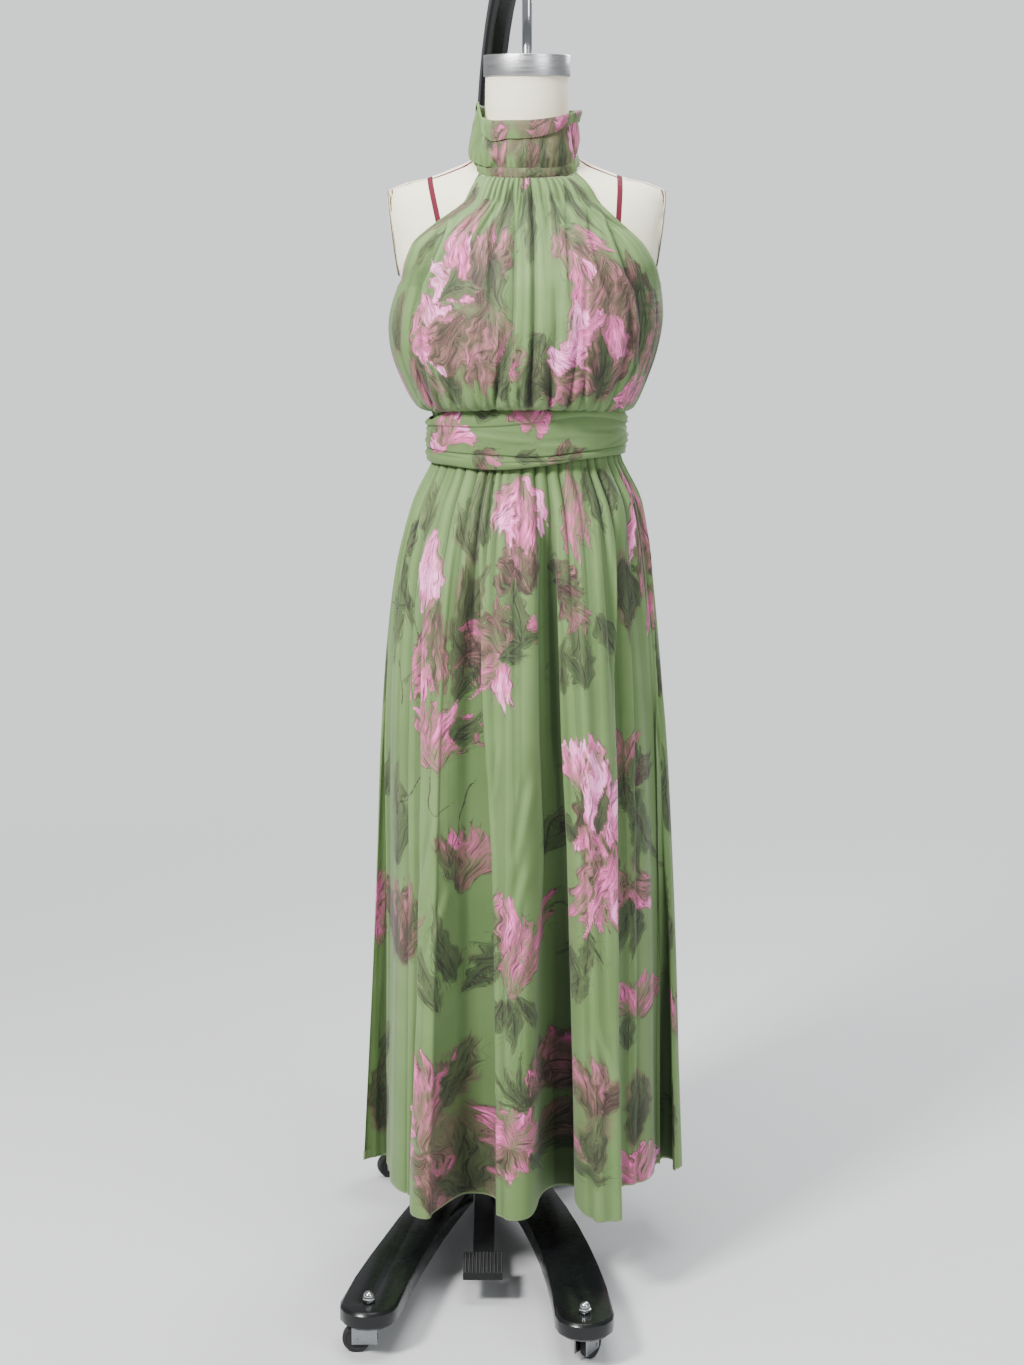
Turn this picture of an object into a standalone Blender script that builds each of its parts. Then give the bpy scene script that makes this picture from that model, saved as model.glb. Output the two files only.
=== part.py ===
"""A halter-neck maxi dress on a limbless dress form, hung from a wheeled overhead stand.

Metres, +Z up. The wearer's front faces -Y and +X is on the viewer's right. Everything is
modelled about the form's own upright axis (X = Y = 0) with the floor at Z = 0, and the last
step slides the whole part so that the middle of its footprint stands on the origin.
"""

import bisect
import math

import bmesh
import bpy
from mathutils import Matrix, Vector

# ---------------------------------------------------------------- driving dimensions
GAP = 0.0003  # clearance between pieces that touch
CLOTH = 0.0018  # a cloth wall's thickness
FORM_CLEARANCE = 0.0006  # cloth stays this far outside the form
FRONT_BODICE_EASE = 0.00576  # how far the bodice's outside stands off the form, at least
BACK_BODICE_EASE = 0.00756
NECK_EASE = 0.0036  # the same for the neckband and the collar

# dress, heights above the floor
HEM_Z = 0.133
WAIST_Z = 1.190
BAND_HEIGHT = 0.012
BAND_SEAM = 0.0005  # the gathered edge lies this far below the neckband
GATHERS_PER_HALF = 25  # of the skirt's waist, front or back
SKIRT_COLUMNS = 2 * GATHERS_PER_HALF
BODICE_GATHERS = 18
BODICE_COLUMNS = 2 * BODICE_GATHERS
SKIRT_GATHER_VARIATION, SKIRT_GATHER_BEAT = 0.35, 2.4  # the gathers' depth comes and goes
NECK_GATHER, WAIST_GATHER = 0.0020, 0.0030  # the bodice's gathers at its two ends
GATHER_ROWS = 3.0  # table rows over which those gathers die out
MIDDLE_WAVE, MIDDLE_WAVE_SHARE, MIDDLE_WAVE_PHASE = 0.0022, 0.4, 1.1
SIDEWAYS_SHARE = 0.3  # part of each wave that goes sideways

# form
FORM_SIDES = 36
BUTTON_PROFILE = [(0.0, 0.004), (0.003, 0.0036), (0.0048, 0.002), (0.005, 0.0)]
BUTTON_SHARES = (0.16, 0.62)  # of the collar's height, from its top
BUTTON_ANGLE, BUTTON_STANDOFF, BUTTON_SIDES = 176.0, 0.0006, 12

# stand
GANTRY_XY = (-0.055, 0.250)  # the upright, behind the dress
TUBE = 0.034  # side of the outer upright, and of the arm
INNER_TUBE = 0.028  # side of the upright that slides in it
TUBE_CORNER, INNER_CORNER, ARM_CORNER = 0.005, 0.003, 0.009
SOCKET_WALL, SOCKET_HEIGHT = 0.006, 0.045
SLIDE_SPLIT_Z = 0.800  # top of the fixed upright
SLIDE_LAP = 0.250  # how far the sliding upright reaches down inside
ARM_START_Z = 1.500
ARM_TOP_Z = 1.830  # centre line of the arm over the neck
ARM_STEPS = 12
ARM_LEVEL = 0.012  # the arm runs level this far before the neck's axis
ARM_NOSE = 0.030  # and this far past it
ROD_RADIUS = 0.0065
ROD_SIDES = 16
CAP_RADIUS = 0.0575
CAP_BOTTOM_Z = 1.662
CAP_TOP_Z = 1.690
CAP_RIM, CAP_EASE, CAP_SIDES = 0.003, 0.002, 32
BASE_BOTTOM_Z = 0.045
BASE_TOP_Z = 0.070
BASE_EASE = 0.004  # bevel round its plates
HUB_XY, HUB_HALF, HUB_SIDES = (-0.055, 0.215), 0.070, 24
ARM_HALF, FOOT_HALF = 0.033, 0.039  # half widths of the base's arms and of their round feet
BAR_STEPS, FOOT_STEPS = 9, 7
# Foot of each caster, and the point that bends the base's arm towards it.
FEET = {
    # name: (foot xy, bend xy, way the caster trails in degrees)
    "front_left": ((-0.210, -0.319), (-0.150, -0.010), 180.0),
    "front_right": ((0.076, -0.350), (0.0575, -0.035), 60.0),
    "rear_left": ((-0.195, 0.270), (-0.130, 0.225), 200.0),
    "rear_right": ((0.085, 0.270), (0.020, 0.225), 20.0),
}
NUT_PROFILE = [
    # radius  height
    (0.0, 0.0147),
    (0.0040, 0.0138),
    (0.0068, 0.0110),
    (0.0074, 0.0070),
    (0.0092, 0.0062),
    (0.0092, 0.0),
]
NUT_SIDES = 8
WHEEL_RADIUS = 0.019
WHEEL_WIDTH = 0.014
WHEEL_SIDES = 16
TREAD_EASE = 0.0015
AXLE_RADIUS = 0.0030
STEM_RADIUS = 0.0050
STEM_SIDES, AXLE_SIDES = 10, 8
FORK_GAP = 0.0008  # beside the wheel
FORK_SHEET, FORK_ROOF_DROP, FORK_TOP_GAP = 0.0020, 0.0035, 0.0005
FORK_TAIL, FORK_NOSE, FORK_FOOT = -0.011, 0.006, 0.006
AXLE_HEAD = 0.0012
CASTER_TRAIL = 0.017
RUNNING_GAP = 0.0003
PEDAL_AXIS = (-0.060, 0.135, 0.052)
PEDAL_PAD_Y = -0.157
PEDAL_HALF = 0.017  # half width of the barrel
PIN_RADIUS, PIN_HEAD = 0.0040, 0.0015
BARREL_RADIUS, BARREL_SIDES = 0.0085, 18
LEVER_HALF, LEVER_LOW, LEVER_HIGH, LEVER_LAP = 0.015, -0.009, -0.003, 0.004
PAD_HALF, PAD_LENGTH, PAD_LOW, PAD_HIGH = 0.0275, 0.068, -0.012, -0.002
PAD_RIBS, RIB_HEIGHT = 11, 0.0015
LUG = 0.006  # thickness of each of the base's two lugs
LUG_FRONT, LUG_BACK, LUG_LOW, LUG_HIGH = -0.010, 0.050, -0.011, 0.009
SLOT_FRONT, SLOT_BACK, SLOT_OVER = -0.080, 0.014, 0.020
CUT_HALF = 0.040  # half length of the tool that bores the lugs

COLOURS = {
    "cloth": (0.44, 0.54, 0.33, 1.0),
    "linen": (0.82, 0.79, 0.70, 1.0),
    "black": (0.02, 0.022, 0.024, 1.0),
    "steel": (0.72, 0.73, 0.75, 1.0),
    "rubber": (0.05, 0.05, 0.055, 1.0),
}
ROUGHNESS = {"cloth": 0.75, "linen": 0.8, "black": 0.35, "steel": 0.2, "rubber": 0.7}
METALLIC = {"steel": 1.0}

# ---------------------------------------------------------------- tables
# The form's level sections: reach from its axis to the side, the front and the back, and how
# square the outline is (2 is an ellipse, less is closer to a diamond).
FORM_SECTIONS = [
    # z      side    front   back    power
    (0.900, 0.140, 0.090, 0.098, 2.2),
    (0.915, 0.158, 0.102, 0.112, 2.2),
    (1.000, 0.164, 0.106, 0.120, 2.2),
    (1.080, 0.147, 0.099, 0.110, 2.1),
    (1.110, 0.1320, 0.0945, 0.0990, 2.0),
    (1.140, 0.1240, 0.0915, 0.0925, 2.0),
    (WAIST_Z, 0.121, 0.090, 0.090, 2.0),
    (1.250, 0.126, 0.096, 0.095, 2.1),
    (1.300, 0.135, 0.108, 0.100, 2.3),
    (1.350, 0.143, 0.118, 0.103, 2.5),
    (1.392, 0.158, 0.112, 0.103, 2.3),
    (1.400, 0.1695, 0.110, 0.103, 2.2),
    (1.420, 0.1830, 0.105, 0.103, 2.2),
    (1.440, 0.1880, 0.100, 0.102, 2.1),
    (1.485, 0.1940, 0.086, 0.098, 2.0),
    (1.5155, 0.1960, 0.069, 0.086, 1.7),
    (1.530, 0.135, 0.0625, 0.079, 1.3),
    (1.545, 0.095, 0.0585, 0.072, 1.15),
    (1.5545, 0.0735, 0.0570, 0.067, 1.5),
    (1.566, 0.0620, 0.0555, 0.0620, 2.0),
    (1.600, 0.0560, 0.0550, 0.0570, 2.0),
    (CAP_BOTTOM_Z - GAP, 0.0550, 0.0550, 0.0550, 2.0),
]
# Its sides are cut flat at the armholes, on a plane that leans out a little towards the top.
PLATE_TOP_Z, PLATE_TOP_X, PLATE_LEAN = 1.5155, 0.1838, 0.124
PLATE_CENTRE_YZ = (0.004, 1.4575)
PLATE_HALF_DEPTH, PLATE_HALF_HEIGHT, PLATE_THICKNESS = 0.040, 0.056, 0.003
PLATE_SIDES = 20

# The bodice from the armholes down to the waist seam, shared by its front and back pieces.
BODICE_SIDES = [
    # side_z  centre_z left_x  right_x side_y  front_y  back_y
    (1.385, 1.385, 0.171, 0.180, -0.004, -0.136, 0.120),
    (1.345, 1.345, 0.186, 0.184, 0.004, -0.146, 0.128),
    (1.300, 1.300, 0.183, 0.176, 0.006, -0.149, 0.128),
    (1.255, 1.262, 0.166, 0.160, 0.006, -0.145, 0.124),
    (1.230, 1.240, 0.151, 0.148, 0.005, -0.134, 0.116),
    (1.2225, 1.2330, 0.139, 0.139, 0.003, -0.113, 0.106),
    (1.2185, 1.2290, 0.1290, 0.1290, 0.001, -0.0985, 0.0985),
    (1.1920, 1.1920, 0.1234, 0.1234, 0.000, -0.0924, 0.0924),
]
# Above that each piece narrows along its armhole edge to the neckband.
FRONT_ARMHOLE = [
    # edge_z  centre_z left_x  right_x edge_y  centre_y
    (1.5317, 1.5317, 0.0625, 0.0640, -0.0345, -0.0705),
    (1.503, 1.503, 0.081, 0.092, -0.050, -0.0840),
    (1.475, 1.475, 0.119, 0.122, -0.064, -0.0960),
    (1.450, 1.450, 0.149, 0.150, -0.064, -0.1080),
    (1.4225, 1.4225, 0.162, 0.169, -0.052, -0.1200),
    (1.400, 1.402, 0.168, 0.177, -0.028, -0.1300),
]
BACK_ARMHOLE = [
    (1.5676, 1.5737, 0.0560, 0.0560, 0.0400, 0.0665),
    (1.530, 1.540, 0.070, 0.072, 0.074, 0.0900),
    (1.490, 1.500, 0.100, 0.104, 0.090, 0.1060),
    (1.450, 1.460, 0.134, 0.138, 0.082, 0.1120),
    (1.4225, 1.430, 0.154, 0.160, 0.060, 0.1150),
    (1.400, 1.404, 0.166, 0.174, 0.030, 0.1180),
]
# Valleys that hang from the neckband to the waist: place across, depth, half width.
BODICE_FOLDS = [
    # u      depth   width
    (-0.60, 0.0070, 0.075),
    (-0.36, 0.0030, 0.060),
    (-0.12, 0.0036, 0.060),
    (0.14, 0.0030, 0.055),
    (0.38, 0.0036, 0.060),
    (0.63, 0.0070, 0.075),
]

# The skirt's smooth sections, before folds and gathers.
SKIRT_SECTIONS = [
    # z     left_x  right_x front_y back_y  gather
    (1.1917, 0.1238, 0.1238, 0.0928, 0.0928, 0.0005),
    (1.1600, 0.1268, 0.1268, 0.0960, 0.0960, 0.0010),
    (1.1440, 0.1325, 0.1325, 0.1020, 0.1015, 0.0018),
    (1.1060, 0.1520, 0.1520, 0.1220, 0.1230, 0.0034),
    (1.0650, 0.1660, 0.1620, 0.1370, 0.1380, 0.0030),
    (1.0020, 0.1810, 0.1710, 0.1500, 0.1500, 0.0018),
    (0.8970, 0.1940, 0.1830, 0.1610, 0.1600, 0.0008),
    (0.7540, 0.2040, 0.1960, 0.1700, 0.1700, 0.0),
    (0.6090, 0.2095, 0.2050, 0.1780, 0.1780, 0.0),
    (0.4500, 0.2170, 0.2130, 0.1860, 0.1850, 0.0),
    (0.2900, 0.2260, 0.2190, 0.1930, 0.1920, 0.0),
    (HEM_Z, 0.2350, 0.2260, 0.1990, 0.1980, 0.0),
]
# Where each crest and valley of the skirt's folds reaches at the hem. The angle counts from
# the centre front, positive to +X, and says which point of the waist the fold hangs from.
HEM_FOLDS = [
    # angle   x       y
    (-90.0, -0.235, 0.010),
    (-78.0, -0.200, -0.012),
    (-60.0, -0.186, -0.112),
    (-49.0, -0.153, -0.118),
    (-37.0, -0.134, -0.190),
    (-25.0, -0.085, -0.117),
    (-15.0, -0.056, -0.190),
    (-1.0, 0.004, -0.197),
    (10.0, 0.042, -0.092),
    (19.0, 0.072, -0.186),
    (32.0, 0.116, -0.197),
    (41.0, 0.131, -0.112),
    (51.0, 0.163, -0.100),
    (62.0, 0.183, -0.042),
    (75.0, 0.214, -0.038),
    (90.0, 0.226, 0.008),
    (104.0, 0.200, 0.048),
    (118.0, 0.192, 0.112),
    (130.0, 0.150, 0.104),
    (143.0, 0.128, 0.180),
    (156.0, 0.080, 0.122),
    (168.0, 0.045, 0.194),
    (180.0, -0.002, 0.152),
    (192.0, -0.050, 0.196),
    (205.0, -0.090, 0.124),
    (218.0, -0.133, 0.176),
    (231.0, -0.158, 0.106),
    (244.0, -0.196, 0.104),
    (257.0, -0.203, 0.046),
]
FOLD_GROWTH = 1.15  # how late the folds open below the waist

# The sash, draped in rolls: share of its height from its top edge, and reach of each roll.
SASH_ROLLS = [
    # share  out
    (0.00, 0.0000),
    (0.12, 0.0030),
    (0.25, 0.0006),
    (0.45, 0.0024),
    (0.78, 0.0003),
    (0.92, 0.0034),
    (1.00, 0.0004),
]
SASH_SIDE, SASH_FRONT, SASH_BACK = 0.1338, 0.1068, 0.1050
SASH_TOP_FRONT, SASH_TOP_SIDE = 1.2280, 1.2168
SASH_BOTTOM_FRONT, SASH_BOTTOM_SIDE = 1.1480, 1.1630

# The neckband's lower edge and the collar's upper edge, round the neck.
NECK_EDGES = [
    # angle  band_z  collar_top_z
    (-180.0, 1.5740, 1.6250),
    (-90.0, 1.5650, 1.6290),
    (-70.0, 1.5480, 1.6280),
    (-60.0, 1.5400, 1.6270),
    (-50.0, 1.5345, 1.6200),
    (-20.0, 1.5320, 1.6050),
    (20.0, 1.5320, 1.6060),
    (50.0, 1.5345, 1.6130),
    (60.0, 1.5400, 1.6160),
    (70.0, 1.5480, 1.6180),
    (90.0, 1.5650, 1.6180),
    (180.0, 1.5740, 1.6250),
]
BAND_SIDE, BAND_FRONT, BAND_BACK = 0.0665, 0.0712, 0.0672
COLLAR_ROLLS = [
    # share of height from the top, reach beyond the neckband
    (0.00, 0.0010),
    (0.07, 0.0036),
    (0.26, 0.0038),
    (0.32, 0.0012),
    (0.75, 0.0026),
    (1.00, -0.0004),
]
COLLAR_LEAN_ANGLE, COLLAR_LEAN = -78.0, 0.0096  # the collar bulges over the left shoulder
COLLAR_LEAN_SPREAD = 32.0
NECK_COLUMNS = 36


# ---------------------------------------------------------------- shared helpers
def material(kind):
    """The Principled material of one kind, made on first use."""
    if kind in bpy.data.materials:
        return bpy.data.materials[kind]
    made = bpy.data.materials.new(kind)
    made.use_nodes = True
    shader = made.node_tree.nodes["Principled BSDF"]
    shader.inputs["Base Color"].default_value = COLOURS[kind]
    shader.inputs["Roughness"].default_value = ROUGHNESS[kind]
    shader.inputs["Metallic"].default_value = METALLIC.get(kind, 0.0)
    return made


def add_object(name, bm, kind, sharp_deg=40.0):
    """Turn a bmesh into a named object with outward faces."""
    bmesh.ops.recalc_face_normals(bm, faces=bm.faces)
    mesh = bpy.data.meshes.new(name)
    bm.to_mesh(mesh)
    bm.free()
    mesh.shade_smooth()
    mesh.set_sharp_from_angle(angle=math.radians(sharp_deg))
    mesh.materials.append(material(kind))
    obj = bpy.data.objects.new(name, mesh)
    bpy.context.scene.collection.objects.link(obj)
    return obj


def boolean(target, cutter, operation):
    """Apply one exact Boolean and drop the other object."""
    modifier = target.modifiers.new("cut", "BOOLEAN")
    modifier.operation = operation
    modifier.object = cutter
    modifier.solver = "EXACT"
    evaluated = target.evaluated_get(bpy.context.evaluated_depsgraph_get())
    mesh = bpy.data.meshes.new_from_object(evaluated)
    target.modifiers.clear()
    target.data = mesh
    bpy.data.objects.remove(cutter, do_unlink=True)


def hermite(p0, p1, p2, p3, t):
    """Catmull-Rom value between p1 and p2 on evenly counted points."""
    a = 2.0 * p1
    b = p2 - p0
    c = 2.0 * p0 - 5.0 * p1 + 4.0 * p2 - p3
    d = -p0 + 3.0 * p1 - 3.0 * p2 + p3
    return 0.5 * (a + b * t + c * t * t + d * t * t * t)


def table_value(rows, place, column):
    """Smooth value of one column at a row place such as 2.5."""
    last = len(rows) - 1
    i = min(int(place), last - 1)
    picks = [rows[min(max(k, 0), last)][column] for k in (i - 1, i, i + 1, i + 2)]
    return hermite(*picks, place - i)


def line_value(rows, key, column):
    """Straight interpolation of one column, the first column being the key."""
    keys = [row[0] for row in rows]
    i = min(max(bisect.bisect_right(keys, key) - 1, 0), len(rows) - 2)
    t = (key - keys[i]) / (keys[i + 1] - keys[i])
    return rows[i][column] + (rows[i + 1][column] - rows[i][column]) * t


def form_section(z):
    """Side, front and back reach and power of the form at a height."""
    return [line_value(FORM_SECTIONS, z, column) for column in (1, 2, 3, 4)]


def form_reach(angle, z):
    """Distance from the form's axis to its surface, at an angle from the front."""
    side, front, back, power = form_section(z)
    depth = front if math.cos(angle) >= 0.0 else back
    total = abs(math.sin(angle) / side) ** power + abs(math.cos(angle) / depth) ** power
    return total ** (-1.0 / power)


def plate_x(z):
    """How far out the form's flat armhole plane lies at a height."""
    return PLATE_TOP_X + (z - PLATE_TOP_Z) * PLATE_LEAN


def form_depth(x, z, front):
    """How far the form reaches to the front, or to the back, at one x and height."""
    side, ahead, behind, power = form_section(z)
    depth = ahead if front else behind
    share = min(abs(x) / side, 1.0) ** power
    return depth * max(1.0 - share, 0.0) ** (1.0 / power)


def grid_normals(grid, closed):
    """Outward normals of a grid whose rows run down and whose columns run towards +X in front."""
    rows, columns = len(grid), len(grid[0])
    normals = []
    for r in range(rows):
        above, below = grid[max(r - 1, 0)], grid[min(r + 1, rows - 1)]
        line = []
        for c in range(columns):
            before = (c - 1) % columns if closed else max(c - 1, 0)
            after = (c + 1) % columns if closed else min(c + 1, columns - 1)
            down = below[c] - above[c]
            along = grid[r][after] - grid[r][before]
            line.append(down.cross(along).normalized())
        normals.append(line)
    return normals


def wall_mesh(outer, inner, closed):
    """A closed wall between two matching grids."""
    bm = bmesh.new()
    rows, columns = len(outer), len(outer[0])
    out = [[bm.verts.new(p) for p in row] for row in outer]
    ins = [[bm.verts.new(p) for p in row] for row in inner]
    spans = columns if closed else columns - 1
    for c in range(spans):
        d = (c + 1) % columns
        for r in range(rows - 1):
            bm.faces.new((out[r][c], out[r + 1][c], out[r + 1][d], out[r][d]))
            bm.faces.new((ins[r][d], ins[r + 1][d], ins[r + 1][c], ins[r][c]))
        bm.faces.new((out[0][d], ins[0][d], ins[0][c], out[0][c]))
        bm.faces.new((out[-1][c], ins[-1][c], ins[-1][d], out[-1][d]))
    if not closed:
        for r in range(rows - 1):
            bm.faces.new((out[r][0], ins[r][0], ins[r + 1][0], out[r + 1][0]))
            bm.faces.new((out[r + 1][-1], ins[r + 1][-1], ins[r][-1], out[r][-1]))
    return bm


def cloth_piece(name, surface, across, down, closed=False):
    """A cloth wall on surface(u, s), for the listed values of u across and s down.

    Normals are taken with one more column past each end, so that two pieces cut from one
    surface leave their seam in the same direction. The ends then stand half a gap back.
    """
    if closed:
        grid = [[surface(u, s) for u in across] for s in down]
        normals = grid_normals(grid, True)
    else:
        first, last = across[0], across[-1]
        ghosts = [first - (across[1] - first), *across, last + (last - across[-2])]
        wide = [[surface(u, s) for u in ghosts] for s in down]
        normals = [row[1:-1] for row in grid_normals(wide, False)]
        grid = [row[1:-1] for row in wide]
    inner = [
        [p - n * CLOTH for p, n in zip(row, line)] for row, line in zip(grid, normals)
    ]
    if not closed:
        for layer in (grid, inner):
            for row in layer:
                start = (row[1] - row[0]).normalized() * (GAP / 2.0)
                end = (row[-2] - row[-1]).normalized() * (GAP / 2.0)
                row[0] = row[0] + start
                row[-1] = row[-1] + end
    return add_object(name, wall_mesh(grid, inner, closed), "cloth", 60.0)


def spread(start, end, count):
    return [start + (end - start) * i / count for i in range(count + 1)]


# ---------------------------------------------------------------- the dress
def fold_offset(angle):
    """How far the hem's folds stand off the smooth hem at an angle in degrees."""
    angle = (angle + 90.0) % 360.0 - 90.0
    knots = HEM_FOLDS + [(row[0] + 360.0, row[1], row[2]) for row in HEM_FOLDS[:3]]
    knots = [(row[0] - 360.0, row[1], row[2]) for row in HEM_FOLDS[-2:]] + knots
    keys = [row[0] for row in knots]
    i = bisect.bisect_right(keys, angle) - 1
    offsets = []
    for angle_k, x, y in knots[i - 1 : i + 3]:
        smooth = smooth_section(math.radians(angle_k), len(SKIRT_SECTIONS) - 1.0)
        offsets.append(Vector((x - smooth.x, y - smooth.y, 0.0)))
    t = (angle - keys[i]) / (keys[i + 1] - keys[i])
    return hermite(*offsets, t)


def smooth_section(angle, place):
    """The skirt without folds, at an angle in radians and a place in its table."""
    sine, cosine = math.sin(angle), math.cos(angle)
    side = table_value(SKIRT_SECTIONS, place, 2 if sine >= 0.0 else 1)
    depth = table_value(SKIRT_SECTIONS, place, 3 if cosine >= 0.0 else 4)
    z = table_value(SKIRT_SECTIONS, place, 0)
    return Vector((side * sine, -depth * cosine, z))


def skirt_surface(angle_deg, place):
    """The skirt's outside: smooth section, folds that open downwards, gathers at the waist."""
    angle = math.radians(angle_deg)
    point = smooth_section(angle, place)
    drop = (SKIRT_SECTIONS[0][0] - point.z) / (SKIRT_SECTIONS[0][0] - HEM_Z)
    point += fold_offset(angle_deg) * max(drop, 0.0) ** FOLD_GROWTH
    count = angle_deg * GATHERS_PER_HALF / 180.0
    beat = 1.0 + SKIRT_GATHER_VARIATION * math.sin(SKIRT_GATHER_BEAT * count)
    depth = table_value(SKIRT_SECTIONS, place, 5) * beat
    wave = depth * math.cos(2.0 * math.pi * count)
    return point + Vector((math.sin(angle), -math.cos(angle), 0.0)) * wave


def skirt_piece(name, first_deg, last_deg):
    rows = [float(i) for i in range(len(SKIRT_SECTIONS))]
    cloth_piece(name, skirt_surface, spread(first_deg, last_deg, SKIRT_COLUMNS), rows)


def bodice_rows(front):
    """One table for a whole bodice piece: edge_z, centre_z, left, right, edge_y, centre_y."""
    upper = FRONT_ARMHOLE if front else BACK_ARMHOLE
    lower = [row[:5] + (row[5 if front else 6],) for row in BODICE_SIDES]
    return upper + lower


def bodice_surface(rows, front):
    """A function of u (-1 at the piece's -X edge to 1) and the place in its table."""
    last = len(rows) - 1.0
    ease = FRONT_BODICE_EASE if front else BACK_BODICE_EASE

    def surface(u, place):
        turn = u * math.pi / 2.0
        sine, cosine = math.sin(turn), math.cos(turn)
        edge_z, centre_z, left, right, edge_y, centre_y = [
            table_value(rows, place, column) for column in range(6)
        ]
        x = (right if u >= 0.0 else left) * sine
        y = edge_y + (centre_y - edge_y) * cosine
        z = edge_z + (centre_z - edge_z) * cosine * cosine
        inside = max(1.0 - abs(u), 0.0) ** 0.5
        hanging = math.sin(math.pi * place / last)
        neck = NECK_GATHER * max(1.0 - place / GATHER_ROWS, 0.0)
        above_seam = abs(place - (last - GATHER_ROWS)) / GATHER_ROWS
        waist = WAIST_GATHER * max(1.0 - above_seam, 0.0)
        count = u * BODICE_GATHERS / 2.0
        wave = (neck + waist) * math.cos(2.0 * math.pi * count)
        broad = math.cos(2.0 * math.pi * count * MIDDLE_WAVE_SHARE + MIDDLE_WAVE_PHASE)
        wave += MIDDLE_WAVE * hanging * broad
        for fold_u, depth, width in BODICE_FOLDS:
            near = math.exp(-(((u - fold_u) / width) ** 2))
            wave -= depth * near * hanging
        y += wave * inside * (-1.0 if front else 1.0)
        x += wave * inside * SIDEWAYS_SHARE * sine
        reach = form_depth(x, z, front) + FORM_CLEARANCE + ease
        y = min(y, -reach) if front else max(y, reach)
        if abs(x) >= form_section(z)[0]:
            y = edge_y + (centre_y - edge_y) * cosine
        if place < 1.0:
            seam = band_low(math.degrees(math.atan2(x, -y))) - BAND_SEAM
            z += (seam - z) * (1.0 - place)
        return Vector((x, y, z))

    return surface


def bodice_piece(name, front):
    rows = bodice_rows(front)
    surface = bodice_surface(rows, front)
    across = spread(-1.0, 1.0, BODICE_COLUMNS)
    if not front:
        inner_surface = surface

        def surface(u, place):
            return inner_surface(-u, place)

    cloth_piece(name, surface, across, [float(i) for i in range(len(rows))])


def ring_point(angle, side, front, back):
    depth = front if math.cos(angle) >= 0.0 else back
    return Vector((side * math.sin(angle), -depth * math.cos(angle), 0.0))


def clear_of_form(point, angle, z, thickness):
    """Push a point outwards until a wall of this thickness clears the form."""
    least = form_reach(angle, z) + FORM_CLEARANCE + thickness
    reach = math.hypot(point.x, point.y)
    return point * max(1.0, least / reach)


def sash_surface(angle_deg, place):
    angle = math.radians(angle_deg)
    share, out = [table_value(SASH_ROLLS, place, column) for column in (0, 1)]
    facing = math.cos(angle) if math.cos(angle) > 0.0 else 0.0
    top = SASH_TOP_SIDE + (SASH_TOP_FRONT - SASH_TOP_SIDE) * facing
    bottom = SASH_BOTTOM_SIDE + (SASH_BOTTOM_FRONT - SASH_BOTTOM_SIDE) * facing
    point = ring_point(angle, SASH_SIDE + out, SASH_FRONT + out, SASH_BACK + out)
    point.z = top + (bottom - top) * share
    return point


def sash():
    columns = 36
    across = [360.0 * i / columns for i in range(columns)]
    down = [float(i) for i in range(len(SASH_ROLLS))]
    cloth_piece("sash", sash_surface, across, down, closed=True)


def neck_surface(low, high, out):
    """A ring round the neck between two heights, each a function of the angle in degrees."""

    def surface(angle_deg, share):
        angle = math.radians(angle_deg)
        z = high(angle_deg) + (low(angle_deg) - high(angle_deg)) * share
        reach = out(angle_deg, share)
        point = ring_point(
            angle, BAND_SIDE + reach, BAND_FRONT + reach, BAND_BACK + reach
        )
        point = clear_of_form(point, angle, z, NECK_EASE)
        point.z = z
        return point

    return surface


def band_low(angle_deg):
    return line_value(NECK_EDGES, (angle_deg + 180.0) % 360.0 - 180.0, 1)


def band_high(angle_deg):
    return band_low(angle_deg) + BAND_HEIGHT


def collar_low(angle_deg):
    return band_high(angle_deg) + GAP


def collar_high(angle_deg):
    return line_value(NECK_EDGES, (angle_deg + 180.0) % 360.0 - 180.0, 2)


def collar_out(angle_deg, share):
    lean = math.exp(-(((angle_deg - COLLAR_LEAN_ANGLE) / COLLAR_LEAN_SPREAD) ** 2))
    low_down = math.sin(math.pi * min(share, 1.0)) ** 2 * share
    return line_value(COLLAR_ROLLS, share, 1) + COLLAR_LEAN * lean * low_down


def neckband():
    across = spread(-180.0, 180.0, NECK_COLUMNS)
    surface = neck_surface(band_low, band_high, lambda angle, share: 0.0)
    cloth_piece("neckband", surface, across, [0.0, 1.0])


def collar():
    across = spread(-180.0, 180.0, NECK_COLUMNS)
    surface = neck_surface(collar_low, collar_high, collar_out)
    cloth_piece("collar", surface, across, [row[0] for row in COLLAR_ROLLS])


def collar_buttons():
    """Two covered buttons at the collar's back opening."""
    surface = neck_surface(collar_low, collar_high, collar_out)
    for index, share in enumerate(BUTTON_SHARES):
        spot = surface(BUTTON_ANGLE, share)
        bm = bmesh.new()
        lathe_into(bm, BUTTON_PROFILE, BUTTON_SIDES)
        button = add_object(f"button_{index + 1}", bm, "cloth")
        button.matrix_world = Matrix.Translation(
            (spot.x, spot.y + GAP + BUTTON_STANDOFF, spot.z)
        ) @ Matrix.Rotation(-math.pi / 2.0, 4, "X")


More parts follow.
